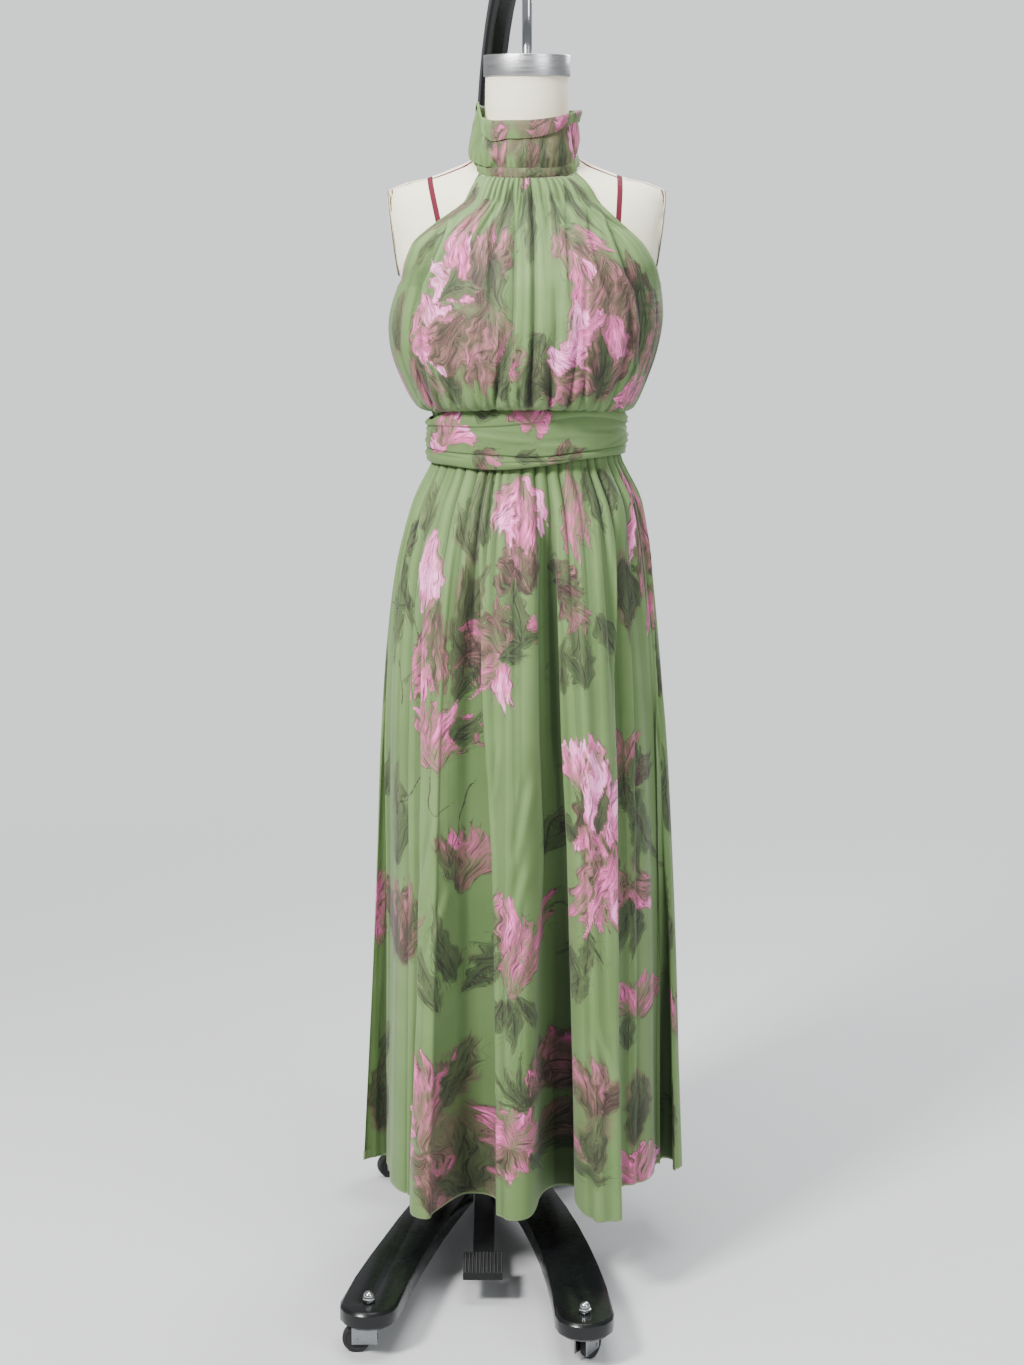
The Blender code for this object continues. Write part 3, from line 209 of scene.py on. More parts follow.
# Where the skirt tucks in beside an edge that overlaps it: the line of each tuck's bottom as
# heights and angles, its depth, the half width of its flat bottom, how softly the cloth comes
# up again on its left and right in degrees, and the heights between which the tuck opens. A last
# number says how many times softer its left side is at the hem.
SKIRT_TUCKS = [
    (((1.10, 9.6), (0.95, 9.2), (0.80, 9.2), (0.65, 10.4), (0.50, 10.6), (0.27, 11.0),
      (HEM_Z, 10.6)), 0.0150, 2.3, 1.7, 0.7, 1.14, 1.04, 3.4),
    (((1.08, -24.6), (0.98, -22.2), (0.89, -21.4), (0.775, -19.5), (0.64, -17.5), (0.50, -16.8),
      (0.22, -16.4), (HEM_Z, -16.4)), 0.0165, 0.9, 6.5, 0.7, 1.08, 0.93),
    (((0.95, -51.0), (0.75, -46.0), (0.57, -46.0), (0.43, -44.6), (0.29, -45.4), (HEM_Z, -49.5)),
     0.0100, 0.6, 4.5, 0.7, 1.00, 0.84),
    (((0.85, -85.0), (0.735, -84.3), (0.53, -82.2), (0.30, -80.6), (HEM_Z, -78.4)),
     0.0100, 0.4, 3.0, 0.8, 0.92, 0.74),
    (((1.06, 48.6), (0.88, 41.9), (0.79, 40.7), (0.70, 38.4), (0.61, 37.0), (0.52, 36.3),
      (0.37, 34.8), (HEM_Z, 34.4)), 0.0155, 0.9, 0.7, 6.0, 1.10, 0.99),
    (((1.05, 84.0), (0.91, 79.5), (0.84, 77.3), (0.77, 73.4), (0.58, 72.0), (0.48, 71.2),
      (0.31, 69.8), (HEM_Z, 68.8)), 0.0190, 1.1, 0.8, 3.6, 1.10, 0.98),
    (((0.95, 86.0), (0.88, 84.2), (0.72, 79.4), (0.58, 79.0), (0.46, 80.0), (HEM_Z, 80.0)),
     0.0060, 0.3, 0.9, 2.4, 0.97, 0.86),
    (((1.12, 31.5), (0.93, 29.5), (0.60, 27.5), (HEM_Z, 27.0)),
     0.0042, 0.0, 3.6, 2.8, 1.15, 1.08),
    (((1.12, 24.0), (0.90, 21.0), (0.60, 20.0)), 0.0030, 0.0, 2.0, 2.0, 1.15, 1.05),
    (((1.12, -9.0), (0.62, -10.5), (HEM_Z, -12.0)), 0.0024, 0.0, 4.0, 1.2, 1.13, 1.07),
    (((1.12, -33.0), (0.90, -34.5), (0.62, -35.0), (HEM_Z, -34.0)),
     0.0050, 0.0, 1.2, 3.5, 1.12, 1.02),
    (((1.10, -60.0), (0.62, -59.0), (HEM_Z, -58.0)), 0.0050, 0.0, 4.0, 1.2, 1.10, 1.00),
    (((1.10, 57.0), (0.85, 54.0), (0.60, 51.0), (HEM_Z, 50.0)),
     0.0055, 0.0, 1.2, 3.5, 1.10, 0.98),
    (((1.08, 112.0), (0.62, 116.0), (HEM_Z, 117.0)), 0.0130, 0.6, 0.8, 5.0, 1.06, 0.92),
    (((1.08, 138.0), (0.62, 134.0), (HEM_Z, 132.0)), 0.0120, 0.8, 4.5, 0.8, 1.08, 0.92),
    (((1.08, 160.0), (0.62, 158.0), (HEM_Z, 157.0)), 0.0140, 1.6, 0.8, 4.5, 1.10, 0.96),
    (((1.08, 186.0), (0.62, 182.0), (HEM_Z, 181.0)), 0.0110, 0.5, 4.0, 0.8, 1.04, 0.90),
    (((1.08, 207.0), (0.62, 205.0), (HEM_Z, 204.0)), 0.0130, 1.4, 0.8, 4.6, 1.08, 0.94),
    (((1.08, 229.0), (0.62, 231.0), (HEM_Z, 232.0)), 0.0110, 0.6, 4.5, 0.8, 1.02, 0.88),
    (((1.08, 250.0), (0.62, 253.0), (HEM_Z, 255.0)), 0.0100, 0.5, 0.8, 4.0, 1.08, 0.90),
]
# Soft slanting creases, from one point to another on the hanging cloth.
SKIRT_SLANTS = [
    # angle, z   to angle, z    depth    width
    (1.5, 0.760, -6.0, 0.620, 0.0030, 0.010),
    (-0.5, 0.640, -11.5, 0.490, 0.0034, 0.011),
    (2.5, 0.560, -7.0, 0.455, 0.0025, 0.009),
    (-12.0, 0.800, -15.0, 0.700, 0.0019, 0.008),
    (-36.0, 0.700, -43.0, 0.560, 0.0025, 0.010),
    (-30.0, 0.600, -41.0, 0.470, 0.0023, 0.011),
    (24.0, 0.420, 33.0, 0.300, 0.0023, 0.010),
    (55.0, 0.740, 50.0, 0.620, 0.0023, 0.010),
    (-15.0, 0.330, -4.0, 0.240, 0.0025, 0.011),
    (152.0, 0.700, 146.0, 0.540, 0.0028, 0.011),
    (170.0, 0.560, 176.0, 0.420, 0.0027, 0.010),
    (196.0, 0.640, 190.0, 0.480, 0.0027, 0.011),
    (222.0, 0.500, 215.0, 0.370, 0.0025, 0.010),
]
# Creases of the front bodice, as the height and place across of points on each.
BODICE_CREASES = [
    # points (z, x), depth, soft width, side of the proud edge
    (((1.497, -0.102), (1.46, -0.110), (1.42, -0.127), (1.392, -0.140), (1.362, -0.143),
      (1.298, -0.139), (1.239, -0.1265)), 0.0120, 0.012, 1.0),
    (((1.330, -0.156), (1.277, -0.153), (1.241, -0.147)), 0.0040, 0.008, 1.0),
    (((1.529, -0.0198), (1.465, -0.0172), (1.37, -0.0172), (1.32, -0.0198),
      (1.282, -0.0315), (1.246, -0.042)), 0.0062, 0.012, 1.0),
    (((1.529, 0.005), (1.452, 0.0075), (1.331, 0.0073), (1.252, -0.0003)), 0.0052, 0.006, -1.0),
    (((1.400, 0.0755), (1.352, 0.0755), (1.242, 0.0751)), 0.0042, 0.007, 1.0),
    (((1.320, 0.0294), (1.238, 0.0298)), 0.0040, 0.006, 1.0),
    (((1.375, 0.1345), (1.306, 0.1303), (1.241, 0.1048)), 0.0060, 0.009, -1.0),
    (((1.354, 0.1537), (1.292, 0.146), (1.243, 0.1209)), 0.0058, 0.008, 1.0),
    (((1.510, 0.0780), (1.46, 0.0818), (1.404, 0.0973), (1.366, 0.1144)), 0.0040, 0.008, -1.0),
    (((1.503, 0.0952), (1.452, 0.1147), (1.407, 0.1306), (1.385, 0.1426), (1.336, 0.1511),
      (1.307, 0.150), (1.27, 0.149)), 0.0105, 0.012, -1.0),
    (((1.345, -0.0301), (1.295, -0.0373), (1.249, -0.0423)), 0.0044, 0.008, -1.0),
    (((1.320, -0.0743), (1.285, -0.064), (1.246, -0.0589)), 0.0034, 0.008, 1.0),
    (((1.312, -0.1058), (1.244, -0.0984)), 0.0034, 0.008, -1.0),
    (((1.523, -0.0590), (1.459, -0.0745), (1.389, -0.0847)), 0.0036, 0.009, 1.0),
    (((1.523, 0.0507), (1.453, 0.0517), (1.377, 0.0553)), 0.0032, 0.008, -1.0),
    (((1.523, 0.0233), (1.440, 0.0269)), 0.0028, 0.006, 1.0),
    (((1.523, -0.0400), (1.430, -0.0480), (1.360, -0.0500)), 0.0030, 0.008, -1.0),
]
BACK_BODICE_CREASES = [
    (((1.540, -0.045), (1.45, -0.090), (1.36, -0.125), (1.25, -0.122)), 0.0085, 0.012, -1.0),
    (((1.540, 0.048), (1.46, 0.088), (1.37, 0.128), (1.25, 0.125)), 0.0085, 0.012, 1.0),
    (((1.545, -0.020), (1.44, -0.036), (1.32, -0.044), (1.25, -0.040)), 0.0048, 0.009, 1.0),
    (((1.545, 0.016), (1.42, 0.030), (1.33, 0.034), (1.25, 0.028)), 0.0048, 0.008, -1.0),
    (((1.420, -0.005), (1.33, -0.002), (1.25, 0.002)), 0.0034, 0.008, 1.0),
    (((1.400, 0.070), (1.32, 0.074), (1.25, 0.070)), 0.0040, 0.009, 1.0),
    (((1.390, -0.078), (1.31, -0.084), (1.25, -0.080)), 0.0040, 0.008, -1.0),
]
# Edges of the sash's rolls, by the angle from the centre front, as heights.
SASH_EDGES = [
    # angle    top     fold    band    bottom
    (-180.0, 1.2190, 1.2060, 1.1810, 1.1600),
    (-130.0, 1.2160, 1.2050, 1.1780, 1.1590),
    (-90.0, 1.2105, 1.2020, 1.1745, 1.1560),
    (-75.0, 1.2120, 1.2040, 1.1738, 1.1540),
    (-50.0, 1.2270, 1.2075, 1.1734, 1.1545),
    (-27.0, 1.2325, 1.2090, 1.1730, 1.1525),
    (-13.0, 1.2335, 1.2115, 1.1724, 1.1530),
    (0.0, 1.2335, 1.2150, 1.1708, 1.1560),
    (15.0, 1.2335, 1.2190, 1.1722, 1.1600),
    (28.0, 1.2340, 1.2221, 1.1752, 1.1642),
    (48.0, 1.2335, 1.2190, 1.1775, 1.1665),
    (78.0, 1.2235, 1.2080, 1.1790, 1.1655),
    (90.0, 1.2170, 1.2050, 1.1790, 1.1650),
    (130.0, 1.2180, 1.2060, 1.1800, 1.1620),
    (180.0, 1.2190, 1.2060, 1.1810, 1.1600),
]
SASH_CREASES = [
    # angle  height  slope  depth   width
    (-24.0, 1.2020, -0.05, 0.0012, 0.0030),
    (12.0, 1.1900, 0.10, 0.0013, 0.0034),
    (52.0, 1.2010, -0.08, 0.0012, 0.0030),
    (68.0, 1.1880, 0.22, 0.0016, 0.0030),
    (-62.0, 1.1930, 0.14, 0.0015, 0.0032),
    (-78.0, 1.1860, -0.20, 0.0015, 0.0028),
    (82.0, 1.1990, -0.25, 0.0015, 0.0028),
    (150.0, 1.1950, 0.08, 0.0013, 0.0034),
    (-150.0, 1.1900, -0.08, 0.0013, 0.0034),
    (8.0, 1.1640, 0.03, 0.0016, 0.0016),
    (-60.0, 1.1680, -0.04, 0.0014, 0.0016),
]
NECK_SEAM = [
    # angle  height of the neckband's lower edge
    (-180.0, 1.5740),
    (-90.0, 1.5650),
    (-70.0, 1.5480),
    (-60.0, 1.5400),
    (-50.0, 1.5345),
    (-20.0, 1.5320),
    (20.0, 1.5320),
    (50.0, 1.5345),
    (60.0, 1.5400),
    (70.0, 1.5480),
    (90.0, 1.5650),
    (180.0, 1.5740),
]
LOOSE_END = [
    # drop, how far the loose end stands off, angle of its edge
    (0.00, -0.0060, -56.0),
    (0.20, -0.0022, -54.0),
    (0.40, 0.0002, -49.0),
    (0.60, 0.0013, -42.0),
    (0.80, 0.0045, -36.0),
    (0.93, 0.0078, -39.0),
    (1.00, 0.0090, -43.0),
]
COLLAR_TOP = [
    # angle  height, how far the top is folded over
    (-180.0, 1.6240, 0.020),
    (-110.0, 1.6265, 0.012),
    (-96.0, 1.6290, 0.004),
    (-80.0, 1.6285, 0.003),
    (-70.0, 1.6200, 0.003),
    (-61.0, 1.6110, 0.008),
    (-50.0, 1.6070, 0.022),
    (-20.0, 1.6055, 0.0235),
    (5.0, 1.6060, 0.0230),
    (25.0, 1.6085, 0.0205),
    (45.0, 1.6125, 0.0170),
    (60.0, 1.6165, 0.0150),
    (78.0, 1.6195, 0.0140),
    (100.0, 1.6190, 0.0160),
    (180.0, 1.6240, 0.0200),
]
COLLAR_PROFILE = [
    # share of the fold-over, share of the stand, reach
    (1.00, 0.00, 0.0036),
    (0.66, 0.00, 0.0044),
    (0.22, 0.00, 0.0040),
    (0.00, 0.00, 0.0022),
    (0.00, 0.05, 0.0006),
    (0.00, 0.18, 0.0004),
    (0.00, 0.36, 0.0010),
    (0.00, 0.56, 0.0022),
    (0.00, 0.80, 0.0026),
    (0.00, 1.00, -0.0002),
]


# ---------------------------------------------------------------- the print, set out one by one
# Flowers, leaves, washes of colour and stems, where each lies on the flat cloth, in metres
# across and down. A heading of 0 points up the cloth and 90 to the viewer's right.
# ("bloom", across, down, heading, reach, petal half width, petals, fan, tone)
# ("leaf", across, down, heading, length, half width, bend, tone)
# ("wash", across, down, half width, half height, strength)
SKIRT_PRINT = [
    ("bloom", -0.024, 0.042, 180, 0.114, 0.015, 4, 26, 0.78),
    ("wash", -0.021, 0.134, 0.035, 0.046, 0.9),
    ("bloom", 0.003, 0.193, -32, 0.079, 0.015, 3, 40, 0.22),
    ("bloom", 0.132, 0.036, 176, 0.117, 0.0136, 2, 10, 0.52),
    ("bloom", 0.405, 0.042, 176, 0.152, 0.0136, 3, 14, 0.74),
    ("bloom", 0.420, 0.06, 184, 0.204, 0.0122, 2, 8, 0.24),
    ("leaf", 0.297, 0.039, 196, 0.068, 0.0109, 0.1, 0.2),
    ("leaf", 0.201, 0.036, 176, 0.082, 0.0095, -0.1, 0.25),
    ("bloom", -0.261, 0.118, 180, 0.109, 0.015, 3, 12, 0.92),
    ("bloom", -0.24, 0.207, 180, 0.15, 0.0136, 3, 16, 0.44),
    ("leaf", -0.147, 0.155, -6, 0.125, 0.0136, 0.1, 0.5),
    ("leaf", -0.117, 0.134, 2, 0.103, 0.0109, -0.1, 0.3),
    ("leaf", -0.159, 0.347, 4, 0.19, 0.0163, 0.12, 0.45),
    ("leaf", -0.123, 0.329, -4, 0.163, 0.0122, -0.1, 0.3),
    ("leaf", -0.318, 0.138, -8, 0.084, 0.0122, -0.1, 0.5),
    ("wash", -0.15, 0.21, 0.035, 0.095, 0.55),
    ("bloom", -0.045, 0.278, -34, 0.084, 0.015, 4, 64, 0.34),
    ("bloom", -0.072, 0.271, 184, 0.084, 0.0109, 2, 20, 0.66),
    ("leaf", -0.072, 0.278, 74, 0.076, 0.0095, -0.15, 0.15),
    ("leaf", -0.018, 0.267, -10, 0.095, 0.0082, 0.1, 0.3),
    ("bloom", 0.069, 0.196, 84, 0.054, 0.015, 3, 50, 0.24),
    ("bloom", 0.096, 0.221, 120, 0.057, 0.0122, 2, 30, 0.36),
    ("leaf", 0.126, 0.329, -2, 0.098, 0.015, 0.1, 0.3),
    ("leaf", 0.075, 0.329, 2, 0.071, 0.0068, 0.2, 0.25),
    ("leaf", 0.183, 0.231, 152, 0.071, 0.0109, 0.1, 0.35),
    ("leaf", 0.312, 0.165, 182, 0.103, 0.0163, 0.05, 0.15),
    ("bloom", 0.414, 0.193, 180, 0.095, 0.0082, 2, 10, 0.5),
    ("wash", 0.3, 0.203, 0.03, 0.06, 0.9),
    ("leaf", -0.384, 0.168, 184, 0.15, 0.015, 0.1, 0.3),
    ("leaf", -0.372, 0.111, 200, 0.095, 0.0109, -0.1, 0.35),
    ("stem", ((-0.291, 0.263), (-0.351, 0.231), (-0.375, 0.193), (-0.378, 0.151), (-0.372, 0.111))),
    ("stem", ((-0.465, 0.235), (-0.366, 0.231), (-0.288, 0.26))),
    ("stem", ((-0.354, 0.355), (-0.351, 0.329), (-0.372, 0.303))),
    ("stem", ((-0.3, 0.271), (-0.315, 0.303), (-0.309, 0.359))),
    ("leaf", -0.498, 0.289, 178, 0.117, 0.0095, 0.1, 0.25),
    ("bloom", -0.213, 0.434, 2, 0.092, 0.015, 4, 44, 0.46),
    ("leaf", -0.162, 0.407, 30, 0.054, 0.0109, 0.1, 0.3),
    ("stem", ((-0.249, 0.441), (-0.339, 0.495), (-0.375, 0.518))),
    ("stem", ((-0.222, 0.445), (-0.231, 0.479), (-0.216, 0.495), (-0.177, 0.487))),
    ("leaf", -0.369, 0.584, -4, 0.136, 0.0163, 0.1, 0.35),
    ("leaf", -0.447, 0.514, 10, 0.082, 0.0095, -0.1, 0.25),
    ("bloom", -0.15, 0.608, 2, 0.101, 0.0122, 3, 18, 0.46),
    ("stem", ((-0.132, 0.468), (-0.144, 0.522), (-0.168, 0.549))),
    ("leaf", -0.135, 0.759, 14, 0.15, 0.0095, 0.1, 0.2),
    ("leaf", -0.159, 0.743, -10, 0.125, 0.0088, -0.1, 0.3),
    ("leaf", -0.111, 0.743, 26, 0.082, 0.0060, 0.1, 0.2),
    ("leaf", -0.189, 0.767, -26, 0.109, 0.0082, 0.1, 0.35),
    ("bloom", -0.483, 0.739, 2, 0.136, 0.0095, 2, 10, 0.7),
    ("bloom", -0.354, 0.723, 0, 0.125, 0.0136, 4, 44, 0.26),
    ("wash", -0.366, 0.683, 0.035, 0.065, 0.8),
    ("bloom", -0.033, 0.747, 2, 0.141, 0.0150, 4, 17, 0.62),
    ("leaf", -0.042, 0.747, 176, 0.068, 0.0095, 0.1, 0.15),
    ("leaf", -0.057, 0.747, 206, 0.065, 0.0082, -0.1, 0.25),
    ("leaf", -0.024, 0.747, 150, 0.06, 0.0082, 0.1, 0.25),
    ("stem", ((-0.072, 0.612), (-0.087, 0.655), (-0.087, 0.719), (-0.069, 0.751))),
    ("bloom", 0.129, 0.479, -2, 0.092, 0.0136, 3, 14, 0.82),
    ("bloom", 0.144, 0.541, 8, 0.109, 0.015, 3, 26, 0.3),
    ("bloom", 0.171, 0.553, 2, 0.141, 0.0136, 3, 20, 0.96),
    ("bloom", 0.165, 0.526, 180, 0.144, 0.0150, 5, 24, 0.5),
    ("bloom", 0.183, 0.53, 176, 0.131, 0.0109, 3, 16, 0.72),
    ("bloom", 0.126, 0.51, 170, 0.049, 0.0109, 3, 30, 0.66),
    ("wash", 0.158, 0.541, 0.036, 0.082, 0.7),
    ("leaf", 0.108, 0.53, -70, 0.046, 0.0095, 0.2, 0.2),
    ("leaf", 0.159, 0.514, 20, 0.054, 0.0082, -0.2, 0.2),
    ("leaf", 0.054, 0.556, -4, 0.060, 0.0109, 0.1, 0.42),
    ("leaf", 0.09, 0.687, 176, 0.076, 0.0109, 0.1, 0.3),
    ("leaf", 0.129, 0.651, 190, 0.082, 0.0068, 0.1, 0.3),
    ("stem", ((0.117, 0.623), (0.126, 0.643), (0.141, 0.663))),
    ("bloom", 0.261, 0.479, 10, 0.09, 0.0122, 4, 44, 0.26),
    ("leaf", 0.261, 0.449, 164, 0.15, 0.0136, 0.12, 0.2),
    ("leaf", 0.27, 0.495, 152, 0.131, 0.0109, -0.12, 0.3),
    ("leaf", 0.306, 0.418, 190, 0.068, 0.0095, 0.1, 0.3),
    ("stem", ((0.261, 0.495), (0.294, 0.53), (0.345, 0.572))),
    ("bloom", 0.27, 0.619, 136, 0.054, 0.0122, 3, 50, 0.74),
    ("leaf", 0.288, 0.655, 184, 0.063, 0.0109, 0.1, 0.15),
    ("leaf", 0.261, 0.635, 196, 0.082, 0.0095, 0.1, 0.25),
    ("wash", 0.291, 0.608, 0.022, 0.041, 0.6),
    ("bloom", -0.213, 0.938, -38, 0.065, 0.015, 3, 52, 0.9),
    ("bloom", -0.207, 0.959, 2, 0.147, 0.0109, 3, 14, 0.66),
    ("bloom", -0.201, 0.963, 196, 0.076, 0.0109, 3, 40, 0.62),
    ("bloom", -0.24, 0.984, -80, 0.035, 0.0109, 2, 50, 0.86),
    ("wash", -0.138, 0.992, 0.052, 0.09, 1.0),
    ("wash", -0.165, 0.869, 0.049, 0.06, 0.6),
    ("leaf", -0.168, 0.918, 6, 0.095, 0.0122, 0.1, 0.4),
    ("bloom", -0.174, 1.059, 8, 0.073, 0.0122, 3, 30, 0.5),
    ("leaf", -0.12, 1.059, -14, 0.109, 0.0122, 0.1, 0.35),
    ("leaf", -0.09, 1.059, 150, 0.063, 0.0095, 0.1, 0.3),
    ("bloom", -0.051, 0.951, 20, 0.065, 0.015, 5, 150, 0.76),
    ("bloom", -0.051, 0.959, 190, 0.063, 0.015, 4, 130, 0.66),
    *(
        ("leaf", -0.006, 0.897, 22 * k - 60, (0.06, 0.067, 0.073)[k % 3], 0.0041, 0.1, 0.15)
        for k in range(7)
    ),
    ("leaf", 0.015, 0.959, 96, 0.079, 0.0095, 0.15, 0.15),
    ("leaf", 0.0, 0.967, 120, 0.071, 0.0095, -0.15, 0.2),
    ("leaf", 0.054, 1.0, 80, 0.063, 0.0082, 0.1, 0.2),
    ("bloom", 0.048, 0.91, 2, 0.09, 0.0122, 4, 24, 0.46),
    ("bloom", 0.054, 0.98, 0, 0.057, 0.0122, 3, 50, 0.56),
    ("wash", 0.048, 0.869, 0.033, 0.06, 0.5),
    ("wash", 0.135, 0.901, 0.035, 0.076, 0.8),
    ("bloom", 0.141, 0.914, 0, 0.082, 0.0122, 3, 34, 0.36),
    ("leaf", 0.117, 0.984, 10, 0.082, 0.0122, 0.1, 0.3),
    ("bloom", 0.276, 0.803, 0, 0.068, 0.0136, 4, 54, 0.76),
    ("leaf", 0.258, 0.856, -10, 0.063, 0.0095, 0.1, 0.25),
    ("leaf", 0.282, 0.992, -4, 0.098, 0.0163, 0.1, 0.15),
    ("wash", 0.279, 0.947, 0.027, 0.06, 0.9),
    ("bloom", 0.282, 1.059, 0, 0.065, 0.0136, 4, 56, 0.84),
    ("leaf", -0.462, 1.017, 0, 0.131, 0.0122, 0.1, 0.25),
    ("wash", -0.459, 0.984, 0.024, 0.063, 0.7),
    ("leaf", -0.45, 0.905, 10, 0.068, 0.0095, 0.1, 0.4),
    ("leaf", 0.48, 0.37, 0, 0.15, 0.0109, 0.1, 0.12),
    ("leaf", 0.465, 0.568, 2, 0.136, 0.0095, -0.1, 0.15),
    ("leaf", 0.432, 0.743, 0, 0.122, 0.0095, 0.1, 0.2),
    ("bloom", 0.465, 0.865, 0, 0.095, 0.0082, 2, 20, 0.5),
    ("leaf", 0.429, 1.025, 0, 0.109, 0.0095, 0.1, 0.2),
]
BODICE_PRINT = [
    ("bloom", -0.078, 0.21, -14, 0.106, 0.015, 4, 34, 0.86),
    ("bloom", -0.056, 0.204, 2, 0.112, 0.015, 3, 22, 0.28),
    ("bloom", -0.156, 0.194, 156, 0.131, 0.015, 3, 20, 0.88),
    ("bloom", -0.071, 0.227, 196, 0.101, 0.0163, 4, 50, 0.3),
    ("bloom", -0.045, 0.204, 182, 0.109, 0.0122, 2, 16, 0.32),
    ("bloom", -0.266, 0.138, 184, 0.082, 0.0122, 2, 14, 0.84),
    ("wash", -0.069, 0.159, 0.035, 0.065, 0.8),
    ("wash", -0.082, 0.261, 0.046, 0.054, 0.8),
    ("leaf", -0.121, 0.204, 60, 0.068, 0.0109, 0.2, 0.45),
    ("leaf", -0.123, 0.298, 150, 0.046, 0.0109, 0.1, 0.2),
    ("wash", -0.205, 0.24, 0.016, 0.054, 0.7),
    ("leaf", -0.214, 0.274, 0, 0.082, 0.0095, 0.1, 0.3),
    ("bloom", -0.235, 0.278, 180, 0.068, 0.0082, 2, 12, 0.6),
    ("bloom", -0.166, 0.271, 176, 0.082, 0.0095, 2, 10, 0.36),
    ("bloom", -0.156, 0.302, 160, 0.054, 0.0095, 2, 20, 0.3),
    ("leaf", -0.192, 0.058, 216, 0.103, 0.0109, 0.1, 0.5),
    ("bloom", -0.179, 0.058, 222, 0.082, 0.0082, 2, 14, 0.36),
    ("bloom", -0.108, 0.072, 196, 0.054, 0.0109, 2, 20, 0.4),
    ("leaf", -0.048, 0.065, 176, 0.073, 0.0095, 0.1, 0.25),
    ("leaf", 0.0, 0.058, 178, 0.095, 0.0082, -0.05, 0.2),
    ("bloom", -0.004, 0.05, 150, 0.019, 0.0082, 3, 120, 0.5),
    ("leaf", 0.108, 0.055, 150, 0.063, 0.0109, 0.1, 0.15),
    ("leaf", 0.149, 0.055, 134, 0.082, 0.0109, -0.1, 0.25),
    ("bloom", 0.054, 0.105, 150, 0.082, 0.0109, 3, 24, 0.34),
    ("leaf", 0.056, 0.065, 180, 0.068, 0.0068, 0.1, 0.3),
    ("leaf", -0.056, 0.155, 150, 0.071, 0.0109, 0.1, 0.25),
    ("leaf", -0.162, 0.109, 200, 0.068, 0.0082, 0.1, 0.4),
    ("bloom", 0.067, 0.136, 166, 0.131, 0.0122, 3, 14, 0.88),
    ("bloom", 0.091, 0.301, -26, 0.09, 0.015, 5, 70, 0.8),
    ("bloom", 0.11, 0.155, 174, 0.082, 0.0122, 3, 30, 0.36),
    ("bloom", 0.158, 0.14, 174, 0.19, 0.015, 4, 22, 0.18),
    ("bloom", 0.112, 0.216, 186, 0.09, 0.0122, 3, 24, 0.66),
    ("bloom", 0.043, 0.294, 200, 0.054, 0.0136, 3, 60, 0.4),
    ("bloom", 0.104, 0.323, -16, 0.068, 0.0122, 3, 60, 0.3),
    ("wash", 0.117, 0.23, 0.046, 0.109, 0.85),
    ("wash", 0.045, 0.306, 0.041, 0.038, 0.7),
    ("leaf", 0.015, 0.24, 176, 0.082, 0.0095, 0.1, 0.3),
    ("leaf", 0.035, 0.325, -30, 0.06, 0.0122, 0.1, 0.25),
    ("leaf", 0.002, 0.343, 4, 0.068, 0.0109, 0.1, 0.2),
    ("leaf", 0.173, 0.157, 176, 0.15, 0.0095, 0.1, 0.25),
    ("bloom", 0.192, 0.344, -20, 0.046, 0.0109, 3, 60, 0.6),
    ("leaf", 0.242, 0.328, -4, 0.082, 0.0082, 0.1, 0.2),
    ("leaf", -0.032, 0.331, 0, 0.082, 0.0082, 0.1, 0.3),
    ("leaf", 0.108, 0.334, 0, 0.095, 0.0082, -0.1, 0.3),
]
SASH_PRINT = [
    ("bloom", 5.895, 0.048, 4, 0.054, 0.0122, 4, 60, 0.72),
    ("wash", 5.856, 0.026, 0.014, 0.035, 0.9),
    ("leaf", 5.937, 0.003, 96, 0.033, 0.0082, 0.1, 0.45),
    ("bloom", 6.003, 0.018, 0, 0.024, 0.0122, 4, 100, 0.66),
    ("bloom", 5.927, 0.066, 98, 0.041, 0.0068, 3, 30, 0.3),
    ("leaf", 5.987, 0.074, 84, 0.046, 0.0068, 0.1, 0.3),
    ("bloom", 6.052, 0.073, -10, 0.024, 0.0095, 3, 80, 0.24),
]
COLLAR_PRINT = [
    ("wash", 8.930, 0.040, 0.030, 0.050, 0.8),
    ("wash", 9.000, 0.045, 0.050, 0.050, 1.2),
    ("wash", 9.070, 0.045, 0.050, 0.050, 1.2),
    ("wash", 9.130, 0.050, 0.040, 0.050, 1.0),
    ("bloom", 9.150, 0.100, 0, 0.090, 0.0100, 3, 12, 0.74),
    ("bloom", 9.120, 0.014, -84, 0.070, 0.0080, 3, 12, 0.46),
    ("bloom", 9.060, 0.018, -80, 0.060, 0.0080, 3, 16, 0.26),
    ("bloom", 8.955, 0.012, -90, 0.040, 0.0080, 2, 14, 0.60),
    ("bloom", 8.925, 0.096, 8, 0.055, 0.0060, 2, 12, 0.52),
    ("bloom", 9.010, 0.090, -20, 0.048, 0.0090, 3, 40, 0.24),
    ("leaf", 8.985, 0.096, 6, 0.052, 0.0090, -0.1, 0.45),
    ("leaf", 9.045, 0.096, -14, 0.055, 0.0100, 0.1, 0.35),
    ("leaf", 9.095, 0.096, 8, 0.052, 0.0090, -0.1, 0.25),
    ("leaf", 8.905, 0.060, 12, 0.040, 0.0060, 0.1, 0.30),
    ("bloom", 9.250, 0.080, 20, 0.060, 0.0110, 4, 50, 0.60),
    ("leaf", 9.320, 0.090, -12, 0.060, 0.0090, 0.1, 0.30),
    ("bloom", 8.760, 0.080, -16, 0.050, 0.0110, 3, 50, 0.40),
    ("leaf", 8.690, 0.090, 10, 0.060, 0.0090, 0.1, 0.30),
]
